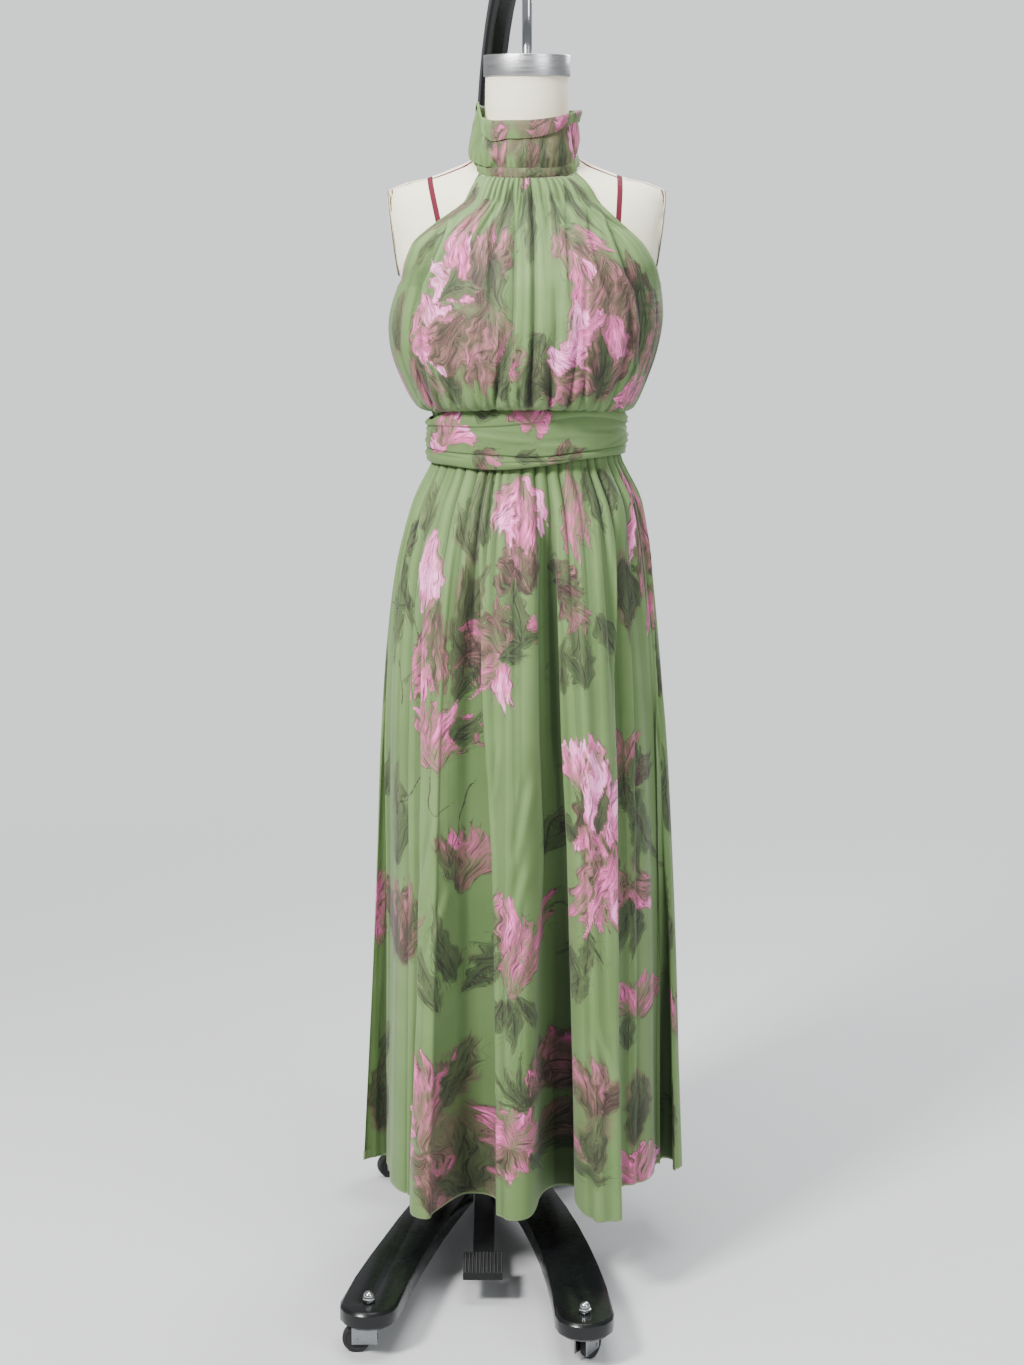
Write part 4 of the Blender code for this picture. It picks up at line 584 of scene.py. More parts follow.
NECKBAND_PRINT = [
    ("wash", 11.94, 0.006, 0.06, 0.03, 1.1),
    ("wash", 12.05, 0.006, 0.07, 0.03, 0.9),
    ("bloom", 11.91, 0.006, 80, 0.03, 0.006, 2, 10, 0.42),
    ("leaf", 11.99, 0.009, 86, 0.06, 0.006, 0.1, 0.35),
    ("leaf", 12.07, 0.007, 94, 0.05, 0.006, 0.1, 0.45),
]


# ---------------------------------------------------------------- curves through tables
def between(p0, p1, p2, p3, t):
    """Catmull-Rom value between p1 and p2."""
    a = 2.0 * p1
    b = p2 - p0
    c = 2.0 * p0 - 5.0 * p1 + 4.0 * p2 - p3
    d = -p0 + 3.0 * p1 - 3.0 * p2 + p3
    return 0.5 * (a + b * t + c * t * t + d * t * t * t)


def at_place(rows, place):
    """Every column of a table at fractional row places."""
    rows = np.asarray(rows, float)
    last = len(rows) - 1
    i = np.clip(np.floor(place).astype(int), 0, last - 1)
    picks = [rows[np.clip(i + k, 0, last)] for k in (-1, 0, 1, 2)]
    return between(*picks, (np.asarray(place) - i)[..., None])


def by_key(keys, values, at):
    """A smooth curve through values at uneven keys."""
    keys, values = np.asarray(keys, float), np.asarray(values, float)
    slope = np.gradient(values, keys, axis=0)
    i = np.clip(np.searchsorted(keys, at, side="right") - 1, 0, len(keys) - 2)
    h = (keys[i + 1] - keys[i])[..., None]
    t = (at - keys[i])[..., None] / h
    u = 1.0 - t
    return (
        (1.0 + 2.0 * t) * u * u * values[i]
        + t * u * u * h * slope[i]
        + t * t * (3.0 - 2.0 * t) * values[i + 1]
        - t * t * u * h * slope[i + 1]
    )


def columns_at(table, at):
    """The columns of a table beside its first, which holds the keys, at other keys."""
    table = np.asarray(table, float)
    return np.moveaxis(by_key(table[:, 0], table[:, 1:], at), -1, 0)


def ease(x):
    x = np.clip(x, 0.0, 1.0)
    return x * x * (3.0 - 2.0 * x)


def hump(away, width):
    """A soft hump: 1 in its middle, about a third at its width."""
    return np.exp(-((away / width) ** 2))


def uneven(turn, *waves):
    """A sum of a few sines round the waist, each (cycles, size, start)."""
    return sum(size * np.sin(cycles * turn + start) for cycles, size, start in waves)


def gathers(phase, sharpness=1.0, middle=0.6, size=1.0):
    """Round gathers side by side, with narrow valleys between them."""
    return size * (np.abs(np.sin(phase)) ** sharpness - middle)


def half_turned(angle):
    """The same angle in degrees, between -180 and 180."""
    return (angle + 180.0) % 360.0 - 180.0


def form_section(z):
    return [np.interp(z, FORM_SECTIONS[:, 0], FORM_SECTIONS[:, k]) for k in (1, 2, 3, 4)]


def form_depth(x, z, front):
    """How far the form reaches to the front or back at one x and height, or -1 beside it."""
    side, ahead, behind, power = form_section(z)
    share = np.clip(np.abs(x) / side, 0.0, 1.0) ** power
    depth = (ahead if front else behind) * np.maximum(1.0 - share, 0.0) ** (1.0 / power)
    return np.where(np.abs(x) < side, depth, -1.0)


def form_reach(angle, z):
    side, ahead, behind, power = form_section(z)
    depth = np.where(np.cos(angle) >= 0.0, ahead, behind)
    total = np.abs(np.sin(angle) / side) ** power + np.abs(np.cos(angle) / depth) ** power
    return total ** (-1.0 / power)


# ---------------------------------------------------------------- the skirt's surface
GATHER_LIFT, PAIR_LIFT, FAINT_LIFT = 0.0038, 0.0046, 0.0009
SIDE_SEAM_DEPTH, SIDE_SEAM_DEG = 0.0006, 0.35
LIP_SHARE = 0.20  # how proud the lip beside a sharp tuck stands, against the tuck's depth


def smooth_skirt(angle, place):
    sine, cosine = np.sin(np.radians(angle)), np.cos(np.radians(angle))
    row = at_place(SKIRT_SECTIONS, place)
    side = np.where(sine >= 0.0, row[..., 2], row[..., 1])
    depth = np.where(cosine >= 0.0, row[..., 3], row[..., 4])
    return np.stack([side * sine, -depth * cosine, row[..., 0]], -1)


def hem_offset(angle):
    """How far the folded hem stands off the smooth hem."""
    line = HEM_LINE[-3:] + HEM_LINE + HEM_LINE[:3]
    turns = [-360.0] * 3 + [0.0] * len(HEM_LINE) + [360.0] * 3
    keys = np.array([row[0] + turn for row, turn in zip(line, turns)])
    hem = smooth_skirt(keys, np.full(len(keys), len(SKIRT_SECTIONS) - 1.0))
    off = np.array([row[1:] for row in line]) - hem[:, :2]
    wrapped = (angle + 90.0) % 360.0 - 90.0
    return by_key(keys, off, wrapped)


def skirt_gathers(turn, z, down):
    """Fine gathers at the seam, pairs of them lower down, then only the big folds."""
    wander = uneven(turn, (3, 1.5, 0.6), (7, 0.9, 2.1), (13, 0.45, 4.0))
    fine = gathers(25.0 * turn + wander, 0.75, 0.62, 1.35)
    broad = gathers(12.5 * turn + 0.6 * wander + 0.4, 0.85, 0.6, 1.25)
    length = 0.16 + uneven(turn, (5, 0.035, 1.0), (11, 0.030, 3.0), (19, 0.020, 0.2))
    start = ease((down - 0.002) / 0.050)
    fade = np.exp(-((np.maximum(down - 0.065, 0.0) / np.maximum(length, 0.05)) ** 1.4))
    swell = 1.0 + uneven(turn, (9, 0.42, 0.0), (17, 0.36, 1.3))
    wave = (0.0006 + GATHER_LIFT * start * fade) * fine * swell
    late = ease((down - 0.05) / 0.10) * np.exp(-((np.maximum(down - 0.18, 0.0) / 0.26) ** 1.5))
    uneven_pairs = 1.0 + uneven(turn, (6, 0.35, 2.0), (10, 0.3, 0.7))
    wave = wave + PAIR_LIFT * late * broad * uneven_pairs
    faint = uneven(turn, (31, 0.5, 0.3), (43, 0.35, 1.9), (57, 0.25, 4.4))
    patchy = 0.55 + 0.45 * np.cos(3.1 * z + 5 * turn)
    return wave + FAINT_LIFT * ease(down / 0.12) * faint * patchy


def tuck_depth(angle, z, line, depth, flat, left_soft, right_soft, first, full, hem_spread=1.0):
    """How far in one tuck takes the cloth, less a small proud lip beside a sharp edge."""
    heights, angles = np.array(line).T
    away = angle - np.interp(-z, -heights, angles)
    beyond = np.maximum(np.abs(away) - flat, 0.0)
    gentle = left_soft * (1.0 + (hem_spread - 1.0) * ease((0.66 - z) / 0.30))
    shape = hump(beyond, np.where(away < 0.0, gentle, right_soft))
    for side, own in ((-1.0, left_soft), (1.0, right_soft)):
        if own < 1.0:
            shape = shape - LIP_SHARE * hump(away * side - flat - 2.0, 1.2)
    return depth * ease((first - z) / (first - full)) * shape


def slant_height(angle, z, a0, z0, a1, z1, depth, width):
    """How far out one slanting crease takes the cloth: a ridge with a valley beside it."""
    across = (angle - a0) * SKIRT_WIDTH_PER_DEG
    run, fall = (a1 - a0) * SKIRT_WIDTH_PER_DEG, z1 - z0
    size = math.hypot(run, fall)
    along = (across * run + (z - z0) * fall) / size
    beside = (across * fall - (z - z0) * run) / size
    ends = ease(along / 0.04) * ease((size - along) / 0.04)
    return depth * (hump(beside, width) - 0.8 * hump(beside - 1.3 * width, width)) * ends


def skirt_points(angle, z):
    """The hanging skirt: section, big folds, gathers that merge downwards, tucks, slants."""
    places = np.linspace(0.0, len(SKIRT_SECTIONS) - 1.0, 2000)
    heights = at_place(SKIRT_SECTIONS, places)[:, 0]
    point = smooth_skirt(angle, np.interp(-z, -heights, places))
    down = SEAM_Z - z
    drop = np.clip(down / SKIRT_LENGTH, 0.0, 1.0)
    point[..., :2] += hem_offset(angle) * (drop**FOLD_GROWTH)[..., None]
    turn = np.radians(angle)
    wave = skirt_gathers(turn, z, down)
    for tuck in SKIRT_TUCKS:
        for turnabout in (-360.0, 0.0, 360.0):
            wave = wave - tuck_depth(angle + turnabout, z, *tuck)
    for slant in SKIRT_SLANTS:
        wave = wave + slant_height(angle, z, *slant)
    wave = wave - SIDE_SEAM_DEPTH * hump(np.abs(half_turned(angle)) - 90.0, SIDE_SEAM_DEG)
    # the cloth moves in and out along the folded outline's own normal
    around = np.gradient(point, axis=1)
    outward = np.stack([around[..., 1], -around[..., 0], np.zeros(z.shape)], -1)
    radial = np.stack([np.sin(turn), -np.cos(turn), np.zeros(z.shape)], -1)
    outward /= np.maximum(np.linalg.norm(outward, axis=-1, keepdims=True), 1e-9)
    near_waist = (ease(1.0 - down / 0.25))[..., None]
    outward = radial * near_waist + outward * (1.0 - near_waist)
    return point + outward * wave[..., None]


# ---------------------------------------------------------------- the bodice's surface
NECK_LIFT, WAIST_LIFT, LONG_LIFT, DRAPE_LIFT, SOFT_LIFT = 0.0036, 0.0044, 0.0040, 0.0048, 0.0022
CREASE_EDGE = 0.0022  # how quickly the cloth drops off a crease's proud edge
BODICE_CLEAR = 0.0030
LADDER_STEP, LADDER_LIFT = 0.0105, 0.0010  # pinched stitches beside the right armhole


def band_low(angle):
    table = np.array(NECK_SEAM)
    return np.interp(half_turned(angle), table[:, 0], table[:, 1])


def bodice_gathers(across, place, last):
    """Gathers that run down from the neckband and up from the waist, and longer ones between."""
    wander = uneven(across, (4.1, 1.3, 0.5), (9.3, 0.8, 2.0), (17.0, 0.4, 1.0))
    neck_wave = gathers(12.4 * math.pi * across + wander, 0.8, 0.62, 1.3)
    neck_fade = np.exp(-((place / (2.1 + 0.9 * np.sin(11.0 * across))) ** 2))
    long_wave = gathers(6.2 * math.pi * across + 0.7 * wander + 0.4, 0.9, 0.6, 1.3)
    long_reach = 4.6 + 1.6 * np.sin(7.0 * across + 2.0)
    long_fade = ease(place / 1.2) * hump(place, long_reach)
    waist_wave = gathers(12.5 * math.pi * across + wander * 1.2, 0.8, 0.62, 1.3)
    waist_reach = 2.6 + 1.1 * np.sin(8.0 * across + 1.0)
    near_waist = np.clip((last - 2.2 - place) / waist_reach, 0.0, 9.0)
    drape_wave = gathers(7.3 * math.pi * across - 0.8 * wander + 1.1, 0.9)
    drape_fade = ease((last - 1.2 - place) / 1.5) * ease((place - 4.0) / 4.0)
    waist_fade = np.exp(-(near_waist**2)) * ease((last - place) / 1.2 + 0.12)
    soft = uneven(across, (7.0, 0.5, 1.1), (12.5, 0.45, 0.2), (19.0, 0.25, 3.0))
    wave = NECK_LIFT * neck_wave * neck_fade + WAIST_LIFT * waist_wave * waist_fade
    wave += LONG_LIFT * long_wave * long_fade + DRAPE_LIFT * drape_wave * drape_fade
    return wave + SOFT_LIFT * soft * np.sin(math.pi * place / last)


def crease_depth(x, z, points, depth, width, side):
    """How far in one crease takes the cloth, less the lip along its proud edge."""
    heights, places = np.array(points).T
    away = (x - np.interp(-z, -heights, places)) * side
    shape = hump(away, np.where(away < 0.0, width, CREASE_EDGE))
    ends = ease((heights[0] + 0.012 - z) / 0.05)
    if heights[-1] >= 1.26:
        ends = ends * ease((z - heights[-1] + 0.02) / 0.05)
    return depth * ends * (shape - 0.30 * hump(away - 0.0055, 0.0045))


def bodice_points(across, place, front):
    """A bodice panel: gathered to the neckband and the waist, with the listed creases."""
    upper = FRONT_ARMHOLE if front else BACK_ARMHOLE
    rows = upper + [row[:5] + (row[5 if front else 6],) for row in BODICE_SIDES]
    edge_z, centre_z, left, right, edge_y, centre_y = np.moveaxis(at_place(rows, place), -1, 0)
    turn = across * math.pi / 2.0
    sine, cosine = np.sin(turn), np.cos(turn)
    x = np.where(across >= 0.0, right, left) * sine
    y = edge_y + (centre_y - edge_y) * cosine
    z = edge_z + (centre_z - edge_z) * cosine * cosine
    wave = bodice_gathers(across, place, len(rows) - 1.0)
    for crease in BODICE_CREASES if front else BACK_BODICE_CREASES:
        wave -= crease_depth(x, z, *crease)
    if front:
        ladder = np.sin(z * 2.0 * math.pi / LADDER_STEP + 2.0 * np.sin(31.0 * z))
        shown = ease((x - 0.146) / 0.012) * ease((z - 1.27) / 0.02) * ease((1.40 - z) / 0.03)
        wave += LADDER_LIFT * ladder * shown
    inside = np.sqrt(np.clip(1.0 - np.abs(across), 0.0, 1.0))
    y += wave * inside * (-1.0 if front else 1.0)
    x += wave * inside * 0.3 * sine
    # the larger of the cloth's own depth and the form's, with the corner between them rounded
    reach = form_depth(x, z, front) + BODICE_CLEAR
    out = -y if front else y
    kept = 0.5 * (out + reach + np.sqrt((out - reach) ** 2 + 0.0012**2))
    out = np.where(reach > 0.0, kept, out)
    y = -out if front else out
    seam = band_low(np.degrees(np.arctan2(x, -y))) - BAND_SEAM
    z = z + np.where(place < 1.0, (seam - z) * (1.0 - place), 0.0)
    return np.stack([x, y, z], -1)


# ---------------------------------------------------------------- sash, collar and neckband
SASH_SIZES, SASH_CLEAR = (0.1338, 0.1068, 0.1050), 0.0018  # side, front, back
SASH_RISES = (0.0030, 0.0022, 0.0044)  # how far the fold, the band and the strand puff out
SLACK_LIFT, CRIMP_LIFT, CRIMP_STEP = 0.0016, 0.0014, 0.0082
CRIMP_DEG, CRIMP_WIDTH_DEG = 88.0, 7.0  # where the sash is pinched, at both sides
BAND_SIZES, BAND_CLEAR = (0.0665, 0.0712, 0.0672), 0.0012
BAND_PLEATS, BAND_FLARE = 0.0006, 0.0038
COLLAR_GAP = 0.0003  # between the neckband and the collar
COLLAR_WAVES, COLLAR_FAN, COLLAR_SLANT = 0.0011, 0.0013, 0.0010
COLLAR_ROLL, COLLAR_CREASE = 0.0034, 0.0022


def ring(angle, reach, z, sizes, clear):
    """A point round the body at an angle in degrees, kept clear of the form."""
    side, front, back = sizes
    turn = np.radians(angle)
    depth = np.where(np.cos(turn) >= 0.0, front, back) + reach
    x, y = (side + reach) * np.sin(turn), -depth * np.cos(turn)
    push = np.maximum(1.0, (form_reach(turn, z) + clear) / np.hypot(x, y))
    return np.stack([x * push, y * push, z], -1)


def sash_points(angle, share):
    """The wound sash: an upper fold, a wide band with a slack ridge, and a lower strand."""
    knots = np.stack(columns_at(SASH_EDGES, angle), -1)
    part = np.clip(share * 3.0, 0.0, 3.0 - 1e-9)
    i = part.astype(int)
    t = part - i
    upper = np.take_along_axis(knots, i[..., None], -1)[..., 0]
    lower = np.take_along_axis(knots, i[..., None] + 1, -1)[..., 0]
    z = upper + (lower - upper) * t
    turn = np.radians(angle)
    pillow = np.abs(np.sin(math.pi * t)) ** 0.55
    rise = np.choose(i, SASH_RISES)
    # the fold lies over the band, and the band over the strand: each sheds towards its edge
    step = np.choose(i, [0.0028 * t, 0.0012 + 0.0024 * t, 0.0006 * t])
    # on the right the strand sinks into the band
    sunk = ease((angle - 28.0) / 25.0) * ease((110.0 - angle) / 30.0)
    merge = np.where(i == 2, 1.0 - 0.7 * sunk, 1.0)
    out = rise * pillow * merge + step
    slack = hump(z - (1.193 - 0.0115 * np.sin(turn * 1.6 + 0.2)), 0.0045)
    out = out + SLACK_LIFT * slack * ease((angle + 40.0) / 20.0) * ease((45.0 - angle) / 20.0)
    for middle, height, slope, depth, width in SASH_CREASES:
        line = height + slope * (angle - middle) * 0.0019
        out = out - depth * hump(z - line, width) * np.exp(-(((angle - middle) / 20.0) ** 4))
    pinch = hump(np.abs(angle) - CRIMP_DEG, CRIMP_WIDTH_DEG)
    crimp = CRIMP_LIFT * pinch * np.sin(z * 2.0 * math.pi / CRIMP_STEP + 1.0)
    out = out + crimp - 0.0012 * pinch
    out = out + 0.0004 * np.sin(7.0 * turn + 40.0 * z) * pillow
    return ring(angle, out, z, SASH_SIZES, SASH_CLEAR)


def band_flare(angle):
    """The neckband stands wider where it turns up over the shoulders."""
    return BAND_FLARE * hump(np.abs(angle) - 64.0, 15.0)


def collar_points(angle, share):
    """The wrapped collar: its top folded over, one end laid over the left front, soft gathers."""
    wrapped = half_turned(angle)
    low = band_low(angle) + BAND_HEIGHT + COLLAR_GAP
    low = low - 0.011 * hump(wrapped + 82.0, 20.0)
    top, folded = columns_at(COLLAR_TOP, wrapped)
    over_share, stand_share, reach = np.moveaxis(
        at_place(COLLAR_PROFILE, share * (len(COLLAR_PROFILE) - 1.0)), -1, 0
    )
    outer = share < 3.0 / 9.0
    down = np.where(outer, 0.0, np.clip(stand_share, 0.0, 1.0))
    z = top - np.where(outer, np.maximum(over_share, 0.0) * folded, (top - low) * down)
    drop = np.clip((top - z) / (top - low), 0.0, 1.0)
    turn = np.radians(angle)
    bulge = np.sin(math.pi * drop**1.6)
    # the loose left end leans in at its top and hangs away over the shoulder below
    lean, edge = columns_at(LOOSE_END, drop)
    reach = reach + lean * hump(wrapped + 86.0, 27.0) + band_flare(wrapped) * drop**4
    soft = uneven(turn, (5, 0.5, 0.4), (9, 0.5, 2.2), (14, 0.35, 1.0))
    reach = reach + COLLAR_WAVES * soft * np.where(outer, 0.6, 0.35 + bulge)
    # fine gathers fan up from the neckband, and slanting ones cross the stand
    fan = gathers(26.0 * turn + 1.5 * np.sin(3.0 * turn))
    reach = reach + COLLAR_FAN * fan * ease((drop - 0.66) / 0.3) * ~outer
    slant = gathers(9.0 * turn + 5.0 * drop + 0.8 * np.sin(4.0 * turn))
    reach = reach + COLLAR_SLANT * slant * np.sin(math.pi * drop) * ~outer
    # the outer end lies over the left front, its edge bowed
    over = ease((edge - wrapped) / 1.6) * ease((wrapped + 165.0) / 40.0)
    lip = hump(wrapped - edge + 4.0, 3.0) * 0.0010
    reach = reach + (0.0016 + 0.0022 * np.sin(math.pi * drop)) * over + lip
    # the right end of the top rolls outwards
    reach = reach + COLLAR_ROLL * hump(wrapped - 80.0, 22.0) * hump(drop, 0.16)
    crease = hump(wrapped - 58.0 - 8.0 * drop, 2.2) * ease(drop / 0.2)
    reach = reach - COLLAR_CREASE * crease
    return ring(angle, reach, z, BAND_SIZES, BAND_CLEAR)


def neckband_points(angle, share):
    dip = 0.0038 * hump(np.abs(angle) - 66.0, 13.0)
    z = band_low(angle) + BAND_HEIGHT * (1.0 - share) - dip * share
    turn = np.radians(angle)
    pleats = gathers(30.0 * turn + 1.2 * np.sin(5.0 * turn))
    round_it = np.sin(math.pi * share) ** 0.6
    reach = BAND_PLEATS * round_it + BAND_PLEATS * pleats * (0.4 + 0.6 * share)
    return ring(angle, reach + band_flare(angle), z, BAND_SIZES, BAND_CLEAR)


# ---------------------------------------------------------------- painting the print
PETAL_BREADTH, LEAF_BREADTH = 1.35, 1.30
# painted shade: flowers low on the skirt are darker, where the light falls off towards the floor
LOW_FLOWERS_PAINTED_SHADE = 0.12
BARE = 0.04  # metres from the nearest petal, leaf or stem, where there is none


class PrintedCloth:
    """The print at every point of one piece: how far each point lies inside a petal, a leaf or
    a stem, its tone, and its place along the brush strokes, all for the cloth's finish."""

    def __init__(self, cloth, stretch):
        u, v = cloth[..., 0] / stretch, cloth[..., 1]
        drift = 0.0046 * np.sin(46.0 * v + 31.0 * u) + 0.0010 * np.sin(150.0 * v - 60.0 * u + 1.0)
        sink = 0.0052 * np.sin(83.0 * u - 24.0 * v + 2.0) + 0.0020 * np.sin(210.0 * u + 30.0 * v)
        self.u, self.v, self.stretch = u + drift, v + sink, stretch
        self.petal, self.leaf, self.near, self.stem, self.wash, self.seed, self.tone = (
            np.full(u.shape, start) for start in (-BARE, -BARE, -BARE, BARE, 0.0, 0.0, 0.4)
        )
        self.strand, self.along = self.u.copy(), self.v.copy()

    def window(self, u, v, reach):
        """Rows and columns of the grid near a place."""
        close = (np.abs(self.u - u) < reach) & (np.abs(self.v - v) < reach)
        rows, columns = np.where(close.any(1))[0], np.where(close.any(0))[0]
        if len(rows) == 0:
            return None
        return slice(rows[0], rows[-1] + 1), slice(columns[0], columns[-1] + 1)

    def keep_nearer_line(self, there, far):
        """Stems and ribs are kept as the distance to the nearest, with a sign for its sides."""
        old = self.stem[there]
        self.stem[there] = np.where(np.abs(far) < np.abs(old), far, old)

    def stroke(self, u, v, heading, length, width, bend, tone, seed, pointed):
        """One brushed petal or leaf, from its base along its heading."""
        there = self.window(u, v, length * 1.35 + 0.02)
        if there is None:
            return
        width = width * (LEAF_BREADTH if pointed else PETAL_BREADTH)
        turn = math.radians(heading)
        du, dv = self.u[there] - u, self.v[there] - v
        along = du * math.sin(turn) - dv * math.cos(turn)
        across = du * math.cos(turn) + dv * math.sin(turn)
        across = across - bend * length * np.clip(along / length, 0.0, 1.2) ** 2
        ragged = 0.09 * np.sin(7.0 * across / width + seed)
        ragged = ragged + 0.06 * np.sin(15.0 * across / width + 2.3 * seed)
        share = along / (length * (1.0 + (0.4 if pointed else 1.0) * ragged))
        inside = np.clip(share, 0.0, 1.0)
        fullest, blunt = (0.8, 0.85) if pointed else (1.35, 0.55)
        half = width * np.sin(math.pi * inside**fullest) ** blunt
        half = half * (1.0 + 0.16 * np.sin(along * 260.0 + seed * 3.0))
        beyond = np.maximum(np.maximum(-share, share - 1.0), 0.0) * length
        edge = half - np.abs(across) - beyond
        edge = np.where(half < 1e-5, -np.hypot(np.abs(across), beyond), edge)
        over = edge > 0.0
        field, hidden = (self.leaf, self.petal) if pointed else (self.petal, self.leaf)
        on_top = over | (edge > np.minimum(field[there], 0.0))
        field[there] = np.where(on_top, edge, field[there])
        if pointed:
            rib = np.hypot(across, np.maximum(np.maximum(-share, share - 0.8), 0.0) * length)
            self.keep_nearer_line(there, np.where(across < 0.0, -rib, rib))
        hidden[there] = np.where(over, np.minimum(hidden[there], -edge), hidden[there])
        rounded = (np.abs(across) / np.maximum(half, width * 0.2)) ** 2
        shade = tone + 0.30 * (inside - 0.55) - 0.12 * np.minimum(rounded, 1.5)
        drawn = across / np.maximum(half, width * 0.45) * width
        closer = over | (edge > self.near[there])
        for kept, new in (
            (self.near, np.minimum(edge, 0.001)),
            (self.tone, shade),
            (self.strand, drawn),
            (self.along, along),
            (self.seed, seed),
        ):
            kept[there] = np.where(closer, new, kept[there])

    def paint(self, rows):
        rng = np.random.default_rng(7)
        for kind, *row in rows:
            if kind == "stem":
                self.draw_stem(row[0])
                continue
            u, v = row[0] / self.stretch, row[1]
            if kind == "wash":
                half_width, half_height, strength = row[2:]
                far = np.hypot((self.u - u) / half_width, (self.v - v) / half_height)
                self.wash = np.maximum(self.wash, strength * ease(1.5 - far))
            elif kind == "leaf":
                self.draw_leaf(rng, u, v, *row[2:])
            else:
                self.draw_bloom(rng, u, v, *row[2:])

    def draw_leaf(self, rng, u, v, heading, length, width, bend, tone):
        """A leaf with a smaller one beside it."""
        self.stroke(u, v, heading, length, width, bend, tone, rng.uniform(0, 9), True)
        side = rng.choice((-1.0, 1.0))
        self.stroke(
            u, v, heading + side * rng.uniform(14, 26), length * 0.62, width * 0.6,
            -bend, tone - 0.08, rng.uniform(0, 9), True,
        )

    def draw_bloom(self, rng, u, v, heading, reach, width, petals, fan, tone):
        """Petals fanned out from one base, laid down in a mixed order."""
        # painted shade: darker towards the hem, where the light falls off towards the floor
        tone = tone - LOW_FLOWERS_PAINTED_SHADE * ease((v - 0.40) / 0.25)
        for k in rng.permutation(petals):
            lean = (k / max(petals - 1, 1) - 0.5) * 2.0 * fan + rng.uniform(-5.0, 5.0)
            length = reach * rng.uniform(0.78, 1.05) * (1.0 - 0.10 * abs(lean) / 90.0)
            self.stroke(
                u + rng.uniform(-0.3, 0.3) * width, v, heading + lean, length,
                width * rng.uniform(0.85, 1.25), rng.uniform(-0.12, 0.12),
                tone + rng.uniform(-0.24, 0.20), rng.uniform(0, 9), False,
            )

    def draw_stem(self, points):
        """A thin line through points."""
        line = np.array(points, float)
        line[:, 0] /= self.stretch
        keys = np.arange(len(line), dtype=float)
        fine = by_key(keys, line, np.linspace(0.0, len(line) - 1.0, 8 * len(line)))
        for (u0, v0), (u1, v1) in zip(fine[:-1], fine[1:]):
            du, dv = u1 - u0, v1 - v0
            size = math.hypot(du, dv)
            along = ((self.u - u0) * du + (self.v - v0) * dv) / size
            beside = ((self.u - u0) * dv - (self.v - v0) * du) / size
            past = np.maximum(np.maximum(-along, along - size), 0.0)
            self.keep_nearer_line(..., np.where(beside < 0.0, -1.0, 1.0) * np.hypot(beside, past))

    def keep_on(self, mesh, hollow):
        for name, fields in (
            ("print_shapes", (self.petal, self.leaf, self.wash)),
            ("print_stroke", (self.strand, self.along, self.seed)),
            ("print_tone", (self.tone, self.stem, hollow)),
        ):
            keep_field(mesh, name, np.stack(fields, -1))


# ---------------------------------------------------------------- meshes
# (axis, how many rows or columns away, weight) of the neighbours that a hollow is judged by
HOLLOW_REACHES = (
    (1, 2, 0.90),
    (1, 4, 0.85),
    (1, 8, 0.12),
    (0, 2, 0.40),
    (0, 4, 0.40),
)
# how far a turned edge goes past the cloth, drops round the fold, and lies behind the cloth
EDGE_PAST, EDGE_ROUND, EDGE_UNDER, EDGE_BEHIND = 0.0004, 0.0005, 0.0012, 0.0015


def unit(vectors, least):
    return vectors / np.maximum(np.linalg.norm(vectors, axis=-1, keepdims=True), least)


def grid_normals(points, closed=False):
    down = np.gradient(points, axis=0)
    if closed:
        along = np.roll(points, -1, axis=1) - np.roll(points, 1, axis=1)
    else:
        along = np.gradient(points, axis=1)
    return unit(np.cross(down, along), 1e-12)


def hollows(points, closed):
    """How deep each point lies between its neighbours, near and far: 0 on a crest, 1 in a fold."""
    out = grid_normals(points, closed)
    total = np.zeros(points.shape[:2])
    for axis, reach, weight in HOLLOW_REACHES:
        sides = []
        for way in (-reach, reach):
            if closed and axis == 1:
                sides.append(np.roll(points, way, axis=axis))
            else:
                last = points.shape[axis] - 1
                at = np.clip(np.arange(last + 1) - way, 0, last)
                sides.append(np.take(points, at, axis=axis))
        span = np.linalg.norm(sides[0] - sides[1], axis=-1) / 2.0 + 1e-5
        depth = (((sides[0] + sides[1]) / 2.0 - points) * out).sum(-1) / span
        total = total + np.clip(depth, -0.12, 1.0) * weight
    return np.clip(total, -0.25, 1.0)


def turned_edge(points, cloth, edge):
    """A narrow turned edge past one side of a grid: round the fold and a little way inside."""
    grids = [points, cloth, grid_normals(points)]
    if edge != "low":
        grids = [grid.swapaxes(0, 1) for grid in grids]
    if edge == "left":
        grids = [grid[::-1] for grid in grids]
    place, lie_there, out = grids
    step = unit(place[-1] - place[-2], 1e-9)
    extra = [place[-1] + step * EDGE_PAST - out[-1] * EDGE_ROUND, place[-1] - out[-1] * EDGE_UNDER]
    extra += [place[-1 - back] - out[-1 - back] * EDGE_BEHIND for back in (1, 3)]
    place = np.concatenate([place, np.array(extra)])
    lie_there = np.concatenate([lie_there, np.repeat(lie_there[-1:], len(extra), axis=0)])
    if edge == "left":
        place, lie_there = place[::-1], lie_there[::-1]
    if edge != "low":
        place, lie_there = place.swapaxes(0, 1), lie_there.swapaxes(0, 1)
    return place, lie_there


def corners_of(grid):
    """The four corners of each cell of a grid, in the order that its face runs round."""
    return np.stack([grid[:-1, :-1], grid[1:, :-1], grid[1:, 1:], grid[:-1, 1:]], 2)


def keep_field(mesh, name, values):
    field = mesh.attributes.new(name, "FLOAT_VECTOR", "POINT")
    field.data.foreach_set("vector", np.ascontiguousarray(values, np.float32).ravel())


